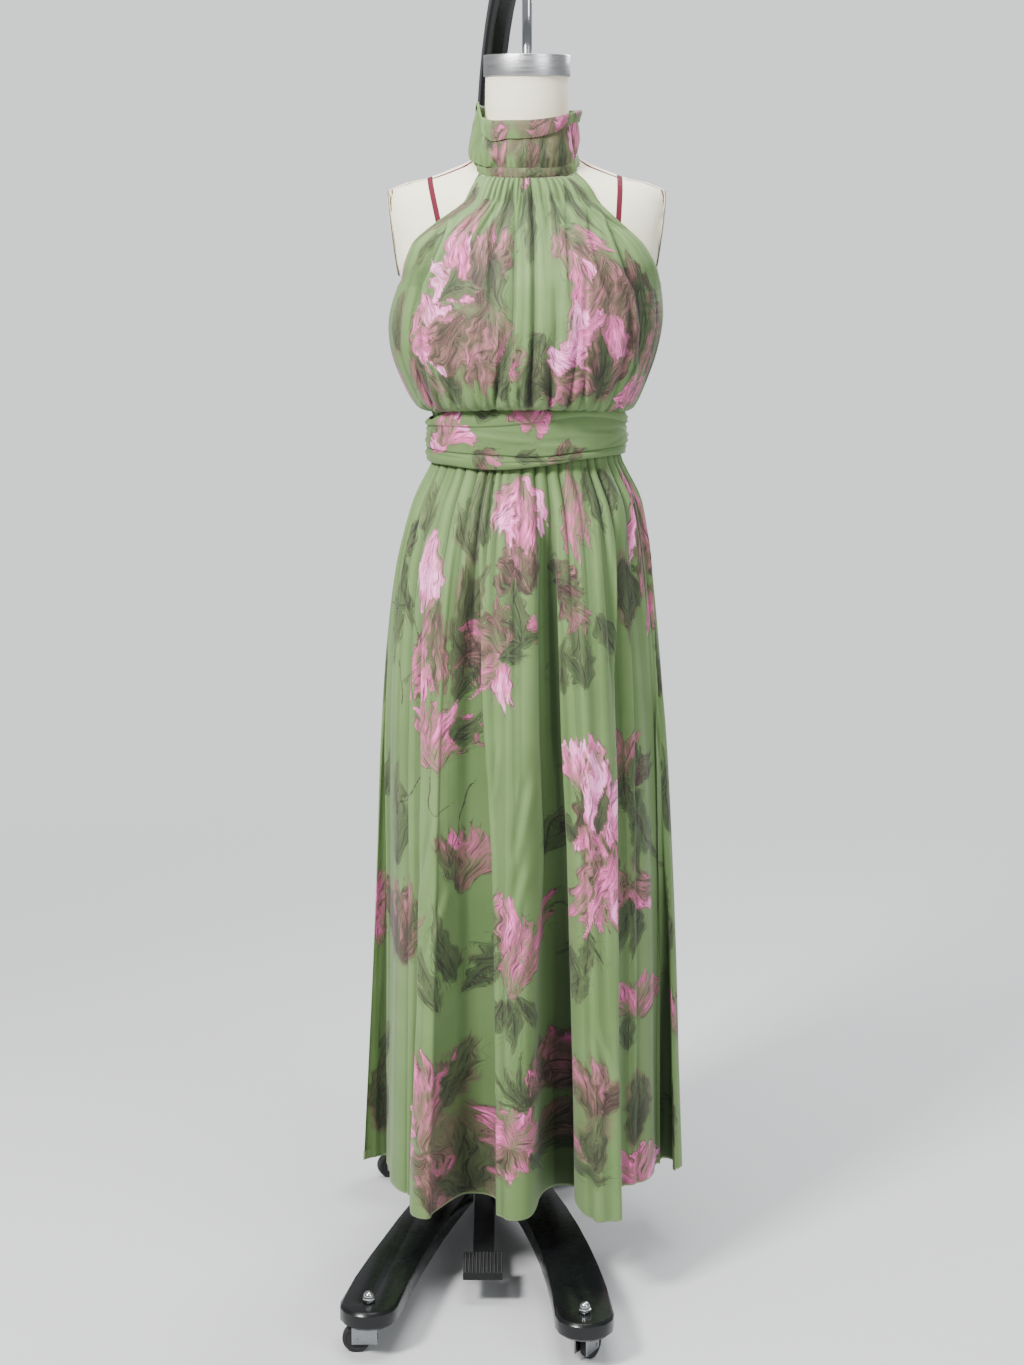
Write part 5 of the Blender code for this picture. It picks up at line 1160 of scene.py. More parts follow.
def cloth_object(name, points, cloth, rows_of_print, stretch=1.0, closed=False):
    """A sheet from a grid of points, rows running down, with the cloth's own lie on it."""
    points = points + AXIS
    rows, columns = points.shape[:2]
    index = np.arange(rows * columns).reshape(rows, columns)
    if closed:
        index = np.concatenate([index, index[:, :1]], axis=1)
    quads = corners_of(index).reshape(-1, 4)
    mesh = bpy.data.meshes.new(name)
    mesh.vertices.add(rows * columns)
    mesh.vertices.foreach_set("co", points.astype(np.float32).ravel())
    mesh.loops.add(quads.size)
    mesh.loops.foreach_set("vertex_index", quads.astype(np.int32).ravel())
    mesh.polygons.add(len(quads))
    mesh.polygons.foreach_set("loop_start", np.arange(0, quads.size, 4, dtype=np.int32))
    mesh.update(calc_edges=True)
    across, down = np.meshgrid(np.linspace(0, 1, index.shape[1]), np.linspace(1, 0, rows))
    flat = corners_of(np.stack([across, down], -1))
    mesh.uv_layers.new(name="UVMap").data.foreach_set("uv", flat.astype(np.float32).ravel())
    keep_field(mesh, "cloth_lie", cloth)
    print_on_it = PrintedCloth(cloth, stretch)
    print_on_it.paint(rows_of_print)
    # how hollow each point lies, kept for the painted shade in the folds and the painted light on
    # the crests
    print_on_it.keep_on(mesh, hollows(points, closed))
    mesh.shade_smooth()
    made = bpy.data.objects.new(name, mesh)
    bpy.context.scene.collection.objects.link(made)
    return made


FINE = 1.0
BACK_BODICE_START, SASH_START, COLLAR_START, NECKBAND_START = 3.0, 6.0, 9.0, 12.0
RING_RADIUS = 0.125  # turns an angle round a sash or collar into metres along the cloth


def count(n):
    return max(int(n * FINE), 12)


def lie(across, down):
    """Where each point lies on the uncut cloth, in metres across and down."""
    return np.stack([across, down, np.zeros(across.shape)], -1)


def make_skirt(name, first, last, columns, rows, rows_of_print):
    angles = np.linspace(first, last, count(columns) + 1)
    heights = SEAM_Z - SKIRT_LENGTH * np.linspace(0.0, 1.0, count(rows) + 1) ** 1.12
    angle, z = np.meshgrid(angles, heights)
    cloth = lie(angle * SKIRT_WIDTH_PER_DEG, SEAM_Z - z)
    points, cloth = turned_edge(skirt_points(angle, z), cloth, "low")
    return cloth_object(name, points, cloth, rows_of_print, SKIRT_STRETCH)


def make_bodice(name, front, columns, rows, rows_of_print):
    places = np.linspace(0.0, len(FRONT_ARMHOLE) + len(BODICE_SIDES) - 1.0, count(rows) + 1)
    across, place = np.meshgrid(np.linspace(-1.0, 1.0, count(columns) + 1), places)
    if not front:
        across = -across
    points = bodice_points(across, place, front)
    start = 0.0 if front else BACK_BODICE_START
    cloth = lie(across * BODICE_WIDTH / 2.0 + start, BODICE_TOP_Z - points[..., 2])
    for edge in ("left", "right"):
        points, cloth = turned_edge(points, cloth, edge)
    return cloth_object(name, points, cloth, rows_of_print)


def make_ring(name, surface, columns, rows, rows_of_print, start, half_turn=180.0):
    """A strip round the body, closed when it goes the whole way."""
    closed = half_turn == 180.0
    columns = count(columns) + (0 if closed else 1)
    angles = np.linspace(-half_turn, half_turn, columns, endpoint=not closed)
    angle, share = np.meshgrid(angles, np.linspace(0.0, 1.0, count(rows) + 1))
    points = surface(angle, share)
    steps = np.linalg.norm(np.diff(points, axis=0), axis=-1)
    down = np.concatenate([np.zeros((1, points.shape[1])), np.cumsum(steps, axis=0)])
    cloth = lie(np.radians(angle) * RING_RADIUS + start, down)
    return cloth_object(name, points, cloth, rows_of_print, closed=closed)


def turned_print(rows, across):
    """The same print turned over, for another length of the cloth."""
    turned = []
    for kind, *row in rows:
        if kind == "stem":
            turned.append((kind, [(across - u, v) for u, v in row[0]]))
        elif kind == "wash":
            turned.append((kind, across - row[0], *row[1:]))
        else:
            turned.append((kind, across - row[0], row[1], -row[2], *row[3:]))
    return turned


back_skirt_print = turned_print(SKIRT_PRINT, 180.0 * SKIRT_WIDTH_PER_DEG)
back_bodice_print = turned_print(BODICE_PRINT, BACK_BODICE_START)
front_skirt = make_skirt("front_skirt_cloth", -90.0, 90.0, 336, 280, SKIRT_PRINT)
back_skirt = make_skirt("back_skirt_cloth", 90.0, 270.0, 300, 250, back_skirt_print)
front_bodice = make_bodice("front_bodice_cloth", True, 300, 200, BODICE_PRINT)
back_bodice = make_bodice("back_bodice_cloth", False, 200, 140, back_bodice_print)
sash = make_ring("sash_cloth", sash_points, 420, 80, SASH_PRINT, SASH_START)
collar = make_ring("collar_cloth", collar_points, 260, 80, COLLAR_PRINT, COLLAR_START, 179.8)
neckband = make_ring(
    "neckband_cloth", neckband_points, 300, 10, NECKBAND_PRINT, NECKBAND_START, 179.9
)


# ---------------------------------------------------------------- hard pieces
CORNERS = ("front_left", "front_right", "rear_left", "rear_right")
NUT_RADIUS, NUT_TALL, DOME_RADIUS = 0.0092, 0.0064, 0.0070
TYRE_WIDTH, TREAD, HUB_STEP, HUB_DEPTH = 0.0138, 0.0050, 0.0006, 0.0008
TRAIL_DEG = {"front_left": 180.0, "front_right": 60.0, "rear_left": 200.0, "rear_right": 20.0}


def alone(made):
    """Select one object only, and make it the active one."""
    for other in bpy.context.selected_objects:
        other.select_set(False)
    made.select_set(True)
    bpy.context.view_layer.objects.active = made


def pick(rule):
    """In edit mode, select the faces of the active object that a rule accepts."""
    bpy.ops.mesh.select_mode(type="FACE")
    bpy.ops.mesh.select_all(action="DESELECT")
    mesh = bpy.context.object.data
    shape = bmesh.from_edit_mesh(mesh)
    for face in shape.faces:
        face.select_set(rule(face.calc_center_median(), face.normal))
    bmesh.update_edit_mesh(mesh)


def finish_shape(made, name, smooth_deg=35.0):
    """Put the object's place into its mesh, name it and smooth it."""
    alone(made)
    bpy.ops.object.transform_apply(location=True, rotation=True, scale=True)
    bpy.ops.object.shade_smooth_by_angle(angle=math.radians(smooth_deg))
    made.name = made.data.name = name
    return made


def bevelled(made, width, segments, angle_deg):
    alone(made)
    modifier = made.modifiers.new("soft_edges", "BEVEL")
    modifier.width, modifier.segments = width, segments
    modifier.limit_method, modifier.angle_limit = "ANGLE", math.radians(angle_deg)
    bpy.ops.object.modifier_apply(modifier="soft_edges")


def from_node(node, name):
    """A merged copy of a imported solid's skin, to be refined."""
    mesh = NODES[node].data.copy()
    mesh.materials.clear()
    made = bpy.data.objects.new(name, mesh)
    bpy.context.scene.collection.objects.link(made)
    alone(made)
    bpy.ops.object.mode_set(mode="EDIT")
    bpy.ops.mesh.select_all(action="SELECT")
    bpy.ops.mesh.remove_doubles(threshold=0.00002)
    bpy.ops.mesh.tris_convert_to_quads(
        face_threshold=math.radians(50.0), shape_threshold=math.radians(50.0)
    )
    bpy.ops.object.mode_set(mode="OBJECT")
    if mesh.has_custom_normals:
        bpy.ops.mesh.customdata_custom_splitnormals_clear()
    for edge in mesh.edges:
        edge.use_edge_sharp = False
    return made


def softened(node, name, width, segments=3, angle_deg=30.0, smooth_deg=35.0, dissolve=True):
    """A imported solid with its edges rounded, the triangles of each flat face melted into one."""
    made = from_node(node, name)
    if dissolve:
        bpy.ops.object.mode_set(mode="EDIT")
        bpy.ops.mesh.select_all(action="SELECT")
        bpy.ops.mesh.dissolve_limited(angle_limit=math.radians(1.0))
        bpy.ops.object.mode_set(mode="OBJECT")
    bevelled(made, width, segments, angle_deg)
    return finish_shape(made, name, smooth_deg)


def rounded_form():
    made = from_node("form", "form_linen")
    bpy.ops.object.mode_set(mode="EDIT")
    pick(lambda centre, normal: abs(normal.z) < 0.99 and 0.93 < centre.z < 1.59)
    bpy.ops.mesh.subdivide(number_cuts=1, smoothness=0.5)
    bpy.ops.object.mode_set(mode="OBJECT")
    return finish_shape(made, "form_linen", 60.0)


def middle_and_size(node):
    low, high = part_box(node)
    return (low + high) / 2.0, high - low


def cylinder_in(node, vertices):
    """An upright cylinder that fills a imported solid's box."""
    middle, size = middle_and_size(node)
    bpy.ops.mesh.primitive_cylinder_add(
        vertices=vertices, radius=size.x / 2.0, depth=size.z, location=middle
    )
    return bpy.context.object


def capped_ring():
    """The neck's metal cap: a turned disc with an eased rim and a sunk top."""
    made = cylinder_in("neck_cap", 128)
    bpy.ops.object.mode_set(mode="EDIT")
    pick(lambda centre, normal: normal.z > 0.9)
    bpy.ops.mesh.inset(thickness=0.0032)
    bpy.ops.transform.translate(value=(0.0, 0.0, -0.0009))
    bpy.ops.object.mode_set(mode="OBJECT")
    bevelled(made, 0.0010, 3, 40.0)
    return finish_shape(made, "neck_cap_metal")


def plain_rod():
    made = cylinder_in("hanging_rod", 64)
    bevelled(made, 0.0006, 2, 40.0)
    return finish_shape(made, "hanging_rod_metal")


def acorn_nut(corner):
    """A hexagon with eased corners under a domed cap."""
    low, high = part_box(f"nut_{corner}")
    x, y, _ = (low + high) / 2.0
    bpy.ops.mesh.primitive_cylinder_add(
        vertices=6, radius=NUT_RADIUS, depth=NUT_TALL, location=(x, y, low.z + NUT_TALL / 2.0)
    )
    nut = bpy.context.object
    bevelled(nut, 0.0008, 2, 40.0)
    bpy.ops.mesh.primitive_uv_sphere_add(
        segments=32, ring_count=20, radius=DOME_RADIUS, location=(x, y, high.z - DOME_RADIUS)
    )
    nut.select_set(True)
    bpy.context.view_layer.objects.active = nut
    bpy.ops.object.join()
    return finish_shape(nut, f"nut_{corner}_metal")


def caster_wheel(corner):
    """A tyre with a rounded tread and a sunk hub on both sides."""
    middle, _ = middle_and_size(f"wheel_{corner}")
    bpy.ops.mesh.primitive_cylinder_add(
        vertices=64, radius=middle.z - 0.0002, depth=TYRE_WIDTH, location=middle
    )
    made = bpy.context.object
    bpy.ops.object.mode_set(mode="EDIT")
    pick(lambda centre, normal: abs(normal.z) > 0.9)
    bpy.ops.mesh.inset(thickness=TREAD, use_individual=True)
    bpy.ops.mesh.inset(thickness=HUB_STEP, depth=-HUB_DEPTH, use_individual=True)
    bpy.ops.object.mode_set(mode="OBJECT")
    bevelled(made, 0.0022, 4, 60.0)
    made.rotation_euler = (math.pi / 2.0, 0.0, math.radians(TRAIL_DEG[corner]))
    return finish_shape(made, f"wheel_{corner}_tyre")


def covered_button(number):
    middle, size = middle_and_size(f"button_{number}")
    bpy.ops.mesh.primitive_uv_sphere_add(segments=32, ring_count=16, radius=0.5, location=middle)
    made = bpy.context.object
    made.scale = size
    return finish_shape(made, f"button_{number}_cloth", 80.0)


form = rounded_form()
plates = [
    softened(f"armhole_plate_{side}", f"armhole_plate_{side}_linen", 0.0012)
    for side in ("left", "right")
]
neck_cap = capped_ring()
rod = plain_rod()
nuts = {corner: acorn_nut(corner) for corner in CORNERS}
wheels = {corner: caster_wheel(corner) for corner in CORNERS}
forks = {corner: softened(f"fork_{corner}", f"fork_{corner}_metal", 0.0005) for corner in CORNERS}
buttons = [covered_button(number) for number in (1, 2)]
arm = softened(
    "gantry_arm", "gantry_arm_painted", 0.0030, angle_deg=12.0, smooth_deg=50.0, dissolve=False
)
base = softened("base", "base_painted", 0.0018)
pedal = softened("pedal", "pedal_ribbed", 0.0006, 2)
upright_fixed, upright_sliding, upright_socket = [
    softened(name, f"{name}_painted", 0.0012)
    for name in ("upright_fixed", "upright_sliding", "upright_socket")
]


# ---------------------------------------------------------------- finishes
GROUND_DEEP, GROUND_PALE = (0.100, 0.176, 0.053), (0.130, 0.212, 0.074)
# Painted shade and light on the folds: what the cloth's colour is multiplied by where it lies
# hollow, as painted shade, and on crests, as painted light: the hollowness from which and to
# which it changes, the share of the change at each, and the colour.
PAINTED_FOLD_SHADE_AND_LIGHT = (
    ((0.02, 0.75, 0.0, 1.0), (0.78, 0.80, 0.80)),
    ((0.72, 1.0, 0.0, 1.0), (0.50, 0.50, 0.52)),
    ((-0.20, 0.0, 1.0, 0.0), (1.20, 1.18, 1.18)),
)
WASH_TONES = (
    (0.28, (0.046, 0.056, 0.022)),
    (0.45, (0.086, 0.072, 0.040)),
    (0.60, (0.140, 0.098, 0.066)),
    (0.75, (0.195, 0.140, 0.092)),
)
LEAF_TONES = (
    (0.05, (0.022, 0.034, 0.015)),
    (0.35, (0.046, 0.070, 0.027)),
    (0.60, (0.074, 0.104, 0.040)),
    (0.90, (0.120, 0.148, 0.062)),
)
PETAL_TONES = (
    (0.00, (0.034, 0.015, 0.016)),
    (0.20, (0.115, 0.056, 0.050)),
    (0.38, (0.225, 0.112, 0.098)),
    (0.54, (0.385, 0.100, 0.185)),
    (0.68, (0.590, 0.100, 0.290)),
    (0.84, (0.820, 0.170, 0.465)),
    (1.00, (0.940, 0.350, 0.680)),
)
PENCIL = (0.022, 0.016, 0.013)
# a paler line along the rolled hem: a painted highlight where its roll catches the light
HEM_HIGHLIGHT_COLOUR = (0.250, 0.330, 0.150)
HANDLING_DEPTH = 0.0004
LINEN_WEAVE, CHIFFON_WEAVE = (900.0, 0.8), (1400.0, 1.2)  # threads, slubs
DULLED = 0.86  # how much of its colour a metal keeps where it has been handled
PAD_LENGTH, RIB_HATCHES = 0.068, 14.0
RUBBED_RIBS = (0.085, 0.085, 0.088)
PLATE_RIM = (0.075, 0.080, 0.088)
SHOULDER_Z = 1.534
PRINCESS_TAPES = ((-0.1298, 0.23), (0.1236, -0.069))  # x at the shoulder, lean
PRINCESS_LOW_Z, SHOULDER_LOW_Z, SHOULDER_HIGH_Z = 1.20, 1.495, 1.585
SHOULDER_SEAM_Y = -0.009
TAPE_HALF, SHOULDER_TAPE_HALF, TAPE_SOFT = 0.0037, 0.0021, 0.0002
TAPE_COLOUR = (0.100, 0.0002, 0.014)


class Nodes:
    """A shader tree, with a short way to add each kind of node that the finishes need."""

    def __init__(self, tree):
        self.tree = tree

    def fill(self, made, values):
        """Link what comes from another node, and set what is plain on the socket itself."""
        for key, value in values.items():
            socket = made.inputs[key]
            if isinstance(value, bpy.types.NodeSocket):
                self.tree.links.new(value, socket)
            elif socket.type == "RGBA" and len(value) == 3:
                socket.default_value = (*value, 1.0)
            else:
                socket.default_value = value

    def add(self, kind, values=None, **settings):
        made = self.tree.nodes.new("ShaderNode" + kind)
        for key, value in settings.items():
            setattr(made, key, value)
        self.fill(made, values or {})
        return made

    def group(self, group, values):
        made = self.tree.nodes.new("ShaderNodeGroup")
        made.node_tree = group
        self.fill(made, values)
        return made.outputs

    def maths(self, operation, *values):
        return self.add("Math", dict(enumerate(values)), operation=operation).outputs[0]

    def plus(self, *values):
        total = values[0]
        for value in values[1:]:
            total = self.maths("ADD", total, value)
        return total

    def minus(self, first, second):
        return self.maths("SUBTRACT", first, second)

    def times(self, first, second):
        return self.maths("MULTIPLY", first, second)

    def larger(self, first, second):
        return self.maths("MAXIMUM", first, second)

    def size(self, value):
        return self.maths("ABSOLUTE", value)

    def centred(self, value, size):
        """A value from 0 to 1, made to swing by a size round 0."""
        return self.maths("MULTIPLY_ADD", value, size, -0.5 * size)

    def spread(self, value, *spans):
        """From low to high, smoothly to 0 and 1 or to the next two numbers."""
        low, high, to_low, to_high = spans if len(spans) == 4 else (*spans, 0.0, 1.0)
        values = {0: value, 1: low, 2: high, 3: to_low, 4: to_high}
        return self.add("MapRange", values, interpolation_type="SMOOTHSTEP").outputs[0]

    def within(self, away, half, soft):
        """1 nearer than a half width and 0 farther, with a soft edge."""
        return self.spread(away, half - soft, half + soft, 1.0, 0.0)

    def blend(self, share, low, high, kind="MIX"):
        values = {0: share, 6: low, 7: high}
        return self.add("Mix", values, data_type="RGBA", blend_type=kind).outputs[2]

    def ramp(self, value, stops):
        made = self.add("ValToRGB", {0: value})
        elements = made.color_ramp.elements
        while len(elements) < len(stops):
            elements.new(0.5)
        for element, (place, colour) in zip(elements, stops):
            element.position, element.color = place, (*colour, 1.0)
        return made.outputs[0]

    def noise(self, place, scale, detail, roughness=0.5):
        values = {"Vector": place, "Scale": scale, "Detail": detail, "Roughness": roughness}
        return self.add("TexNoise", values).outputs[0]

    def drawn_out(self, place, scale):
        return self.add("Mapping", {"Vector": place, "Scale": scale}).outputs[0]

    def parts(self, vector):
        return self.add("SeparateXYZ", {0: vector}).outputs

    def place(self):
        return self.add("TexCoord").outputs["Object"]

    def normal_parts(self):
        return self.parts(self.add("NewGeometry").outputs["Normal"])

    def bump(self, shader, height, strength, distance):
        values = {"Height": height, "Strength": strength, "Distance": distance}
        self.fill(shader, {"Normal": self.add("Bump", values).outputs[0]})


def new_material(name):
    made = bpy.data.materials.new(name)
    made.use_nodes = True
    return made, Nodes(made.node_tree), made.node_tree.nodes["Principled BSDF"]


def new_group(name, given, results):
    """An empty node group with named inputs and results, each with its kind of socket."""
    tree = bpy.data.node_groups.new(name, "ShaderNodeTree")
    for way, sockets in (("INPUT", given), ("OUTPUT", results)):
        for label, kind in sockets.items():
            tree.interface.new_socket(label, in_out=way, socket_type="NodeSocket" + kind)
    inlet, outlet = tree.nodes.new("NodeGroupInput"), tree.nodes.new("NodeGroupOutput")
    return Nodes(tree), inlet.outputs, outlet


def handling_group():
    """Uneven polish, fine scratches and a little dust, for metal, paint and rubber."""
    nodes, given, result = new_group(
        "handling_marks",
        {"Place": "Vector", "Smoothest": "Float", "Roughest": "Float", "Grain": "Float"},
        {"Roughness": "Float", "Mask": "Float", "Height": "Float"},
    )
    wide = nodes.noise(given["Place"], 14.0, 4.0, 0.6)
    fine = nodes.noise(given["Place"], given["Grain"], 3.0, 0.7)
    mask = nodes.spread(nodes.plus(nodes.times(wide, 0.7), nodes.times(fine, 0.3)), 0.35, 0.65)
    span = nodes.minus(given["Roughest"], given["Smoothest"])
    rough = nodes.plus(given["Smoothest"], nodes.times(span, mask))
    nodes.fill(result, {"Roughness": rough, "Mask": mask, "Height": fine})
    return nodes.tree


def threads_group():
    """Crossed threads of a plain weave, with slubs, on any place in metres."""
    nodes, given, result = new_group(
        "crossed_threads",
        {"Place": "Vector", "Threads": "Float", "Slub": "Float"},
        {"Height": "Float", "Slub": "Float"},
    )
    slub = nodes.noise(given["Place"], 130.0, 3.0)
    bent = {"Distortion": 1.2, "Detail": 1.0, "Detail Scale": 1.5}
    bands = [
        nodes.add(
            "TexWave",
            {"Vector": given["Place"], "Scale": given["Threads"], **bent},
            wave_type="BANDS",
            bands_direction=direction,
        ).outputs["Fac"]
        for direction in "XYZ"
    ]
    height = nodes.plus(nodes.times(nodes.plus(*bands), 0.33), nodes.times(slub, given["Slub"]))
    nodes.fill(result, {"Height": height, "Slub": slub})
    return nodes.tree


def handled(nodes, place, smooth, rough, grain):
    values = {"Place": place, "Smoothest": smooth, "Roughest": rough, "Grain": grain}
    return nodes.group(HANDLING, values)


def woven(nodes, place, threads, slub):
    return nodes.group(THREADS, {"Place": place, "Threads": threads, "Slub": slub})


def metal(name, colour, smooth, rough, grain, stretch=None, bump=0.0):
    made, nodes, shader = new_material(name)
    place = nodes.place()
    if stretch is not None:
        place = nodes.drawn_out(place, stretch)
    marks = handled(nodes, place, smooth, rough, grain)
    dull = tuple(value * DULLED for value in colour)
    looks = {
        "Base Color": nodes.blend(marks["Mask"], colour, dull),
        "Roughness": marks["Roughness"],
        "Metallic": 1.0,
    }
    nodes.fill(shader, looks)
    if bump:
        nodes.bump(shader, marks["Height"], bump, HANDLING_DEPTH)
    return made


def black_finish(name, colour, dusty, smooth, rough, grain, coat, bump):
    """Paint or rubber, with dust on what faces up."""
    made, nodes, shader = new_material(name)
    place = nodes.place()
    marks = handled(nodes, place, smooth, rough, grain)
    specks = nodes.noise(place, 260.0, 2.0)
    lying = nodes.times(nodes.spread(nodes.normal_parts()[2], 0.6, 1.0), marks["Mask"])
    dust = nodes.times(lying, nodes.spread(specks, 0.45, 0.75, 0.25, 1.0))
    looks = {
        "Base Color": nodes.blend(dust, colour, dusty),
        "Roughness": marks["Roughness"],
        "Specular IOR Level": 0.32,
        "Coat Weight": coat,
        "Coat Roughness": 0.18,
    }
    nodes.fill(shader, looks)
    nodes.bump(shader, marks["Height"], bump, HANDLING_DEPTH)
    return made


def worn_ribs(made):
    """The tops of the pad's ribs, rubbed paler and crossed by fine cuts."""
    nodes = Nodes(made.node_tree)
    shader = made.node_tree.nodes["Principled BSDF"]
    unworn = shader.inputs["Base Color"].links[0].from_socket
    along = nodes.minus(nodes.parts(nodes.place())[1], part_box("pedal")[0].y)
    along = nodes.maths("DIVIDE", along, PAD_LENGTH)
    cuts = nodes.maths("SINE", nodes.times(along, RIB_HATCHES * 2.0 * math.pi))
    on_top = nodes.spread(nodes.normal_parts()[2], 0.93, 0.98)
    worn = nodes.times(nodes.spread(cuts, -0.5, 0.3), on_top)
    worn = nodes.times(worn, nodes.maths("LESS_THAN", along, 1.0))
    nodes.fill(shader, {"Base Color": nodes.blend(worn, unworn, RUBBED_RIBS)})


def plate_finish():
    """Cream cloth on an armhole plate, with the grey rim of the plate showing round it."""
    made, nodes, shader = new_material("armhole_plate")
    threads = woven(nodes, nodes.place(), *LINEN_WEAVE)
    rim = nodes.spread(nodes.size(nodes.normal_parts()[0]), 0.35, 0.80, 1.0, 0.0)
    slubs = nodes.spread(threads["Slub"], 0.4, 0.7)
    cream = nodes.blend(slubs, (0.86, 0.80, 0.60), (0.92, 0.865, 0.68))
    rough = nodes.spread(rim, 0.0, 1.0, 0.86, 0.42)
    nodes.fill(shader, {"Base Color": nodes.blend(rim, cream, PLATE_RIM), "Roughness": rough})
    nodes.bump(shader, threads["Height"], 0.3, 0.0004)
    return made


def linen_finish():
    """Cream cloth over the form, with sewn marking tape along its main seams."""
    made, nodes, shader = new_material("form_linen")
    place = nodes.place()
    threads = woven(nodes, place, *LINEN_WEAVE)
    mottle = nodes.spread(nodes.noise(place, 9.0, 5.0, 0.6), 0.3, 0.7)
    cream = nodes.blend(mottle, (0.89, 0.83, 0.61), (0.94, 0.89, 0.695))
    slubs = nodes.spread(threads["Slub"], 0.55, 0.8, 0.0, 0.35)
    cream = nodes.blend(slubs, cream, (0.74, 0.69, 0.58))
    x, y, z = nodes.parts(place)
    # the two princess tapes lean in from the shoulders towards the bust
    below = nodes.minus(SHOULDER_Z, z)
    princess = []
    for start, lean in PRINCESS_TAPES:
        line = nodes.maths("MULTIPLY_ADD", below, lean, AXIS[0] + start)
        away = nodes.size(nodes.minus(x, line))
        princess.append(nodes.within(away, TAPE_HALF, TAPE_SOFT))
    shown = nodes.maths("GREATER_THAN", z, PRINCESS_LOW_Z)
    tape = nodes.times(nodes.larger(*princess), shown)
    # the shoulder seam's tape runs along the top, midway from front to back
    away = nodes.size(nodes.minus(y, AXIS[1] + SHOULDER_SEAM_Y))
    ridge = nodes.within(away, SHOULDER_TAPE_HALF, TAPE_SOFT)
    above = nodes.maths("GREATER_THAN", z, SHOULDER_LOW_Z)
    high = nodes.times(above, nodes.maths("LESS_THAN", z, SHOULDER_HIGH_Z))
    tape = nodes.larger(tape, nodes.times(ridge, high))
    looks = {
        "Base Color": nodes.blend(tape, cream, TAPE_COLOUR),
        "Roughness": 0.86,
        "Sheen Weight": nodes.spread(tape, 0.0, 1.0, 0.25, 0.0),
        "Sheen Roughness": 0.6,
    }
    nodes.fill(shader, looks)
    nodes.bump(shader, nodes.plus(threads["Height"], nodes.times(tape, 1.5)), 0.35, 0.0005)
    return made


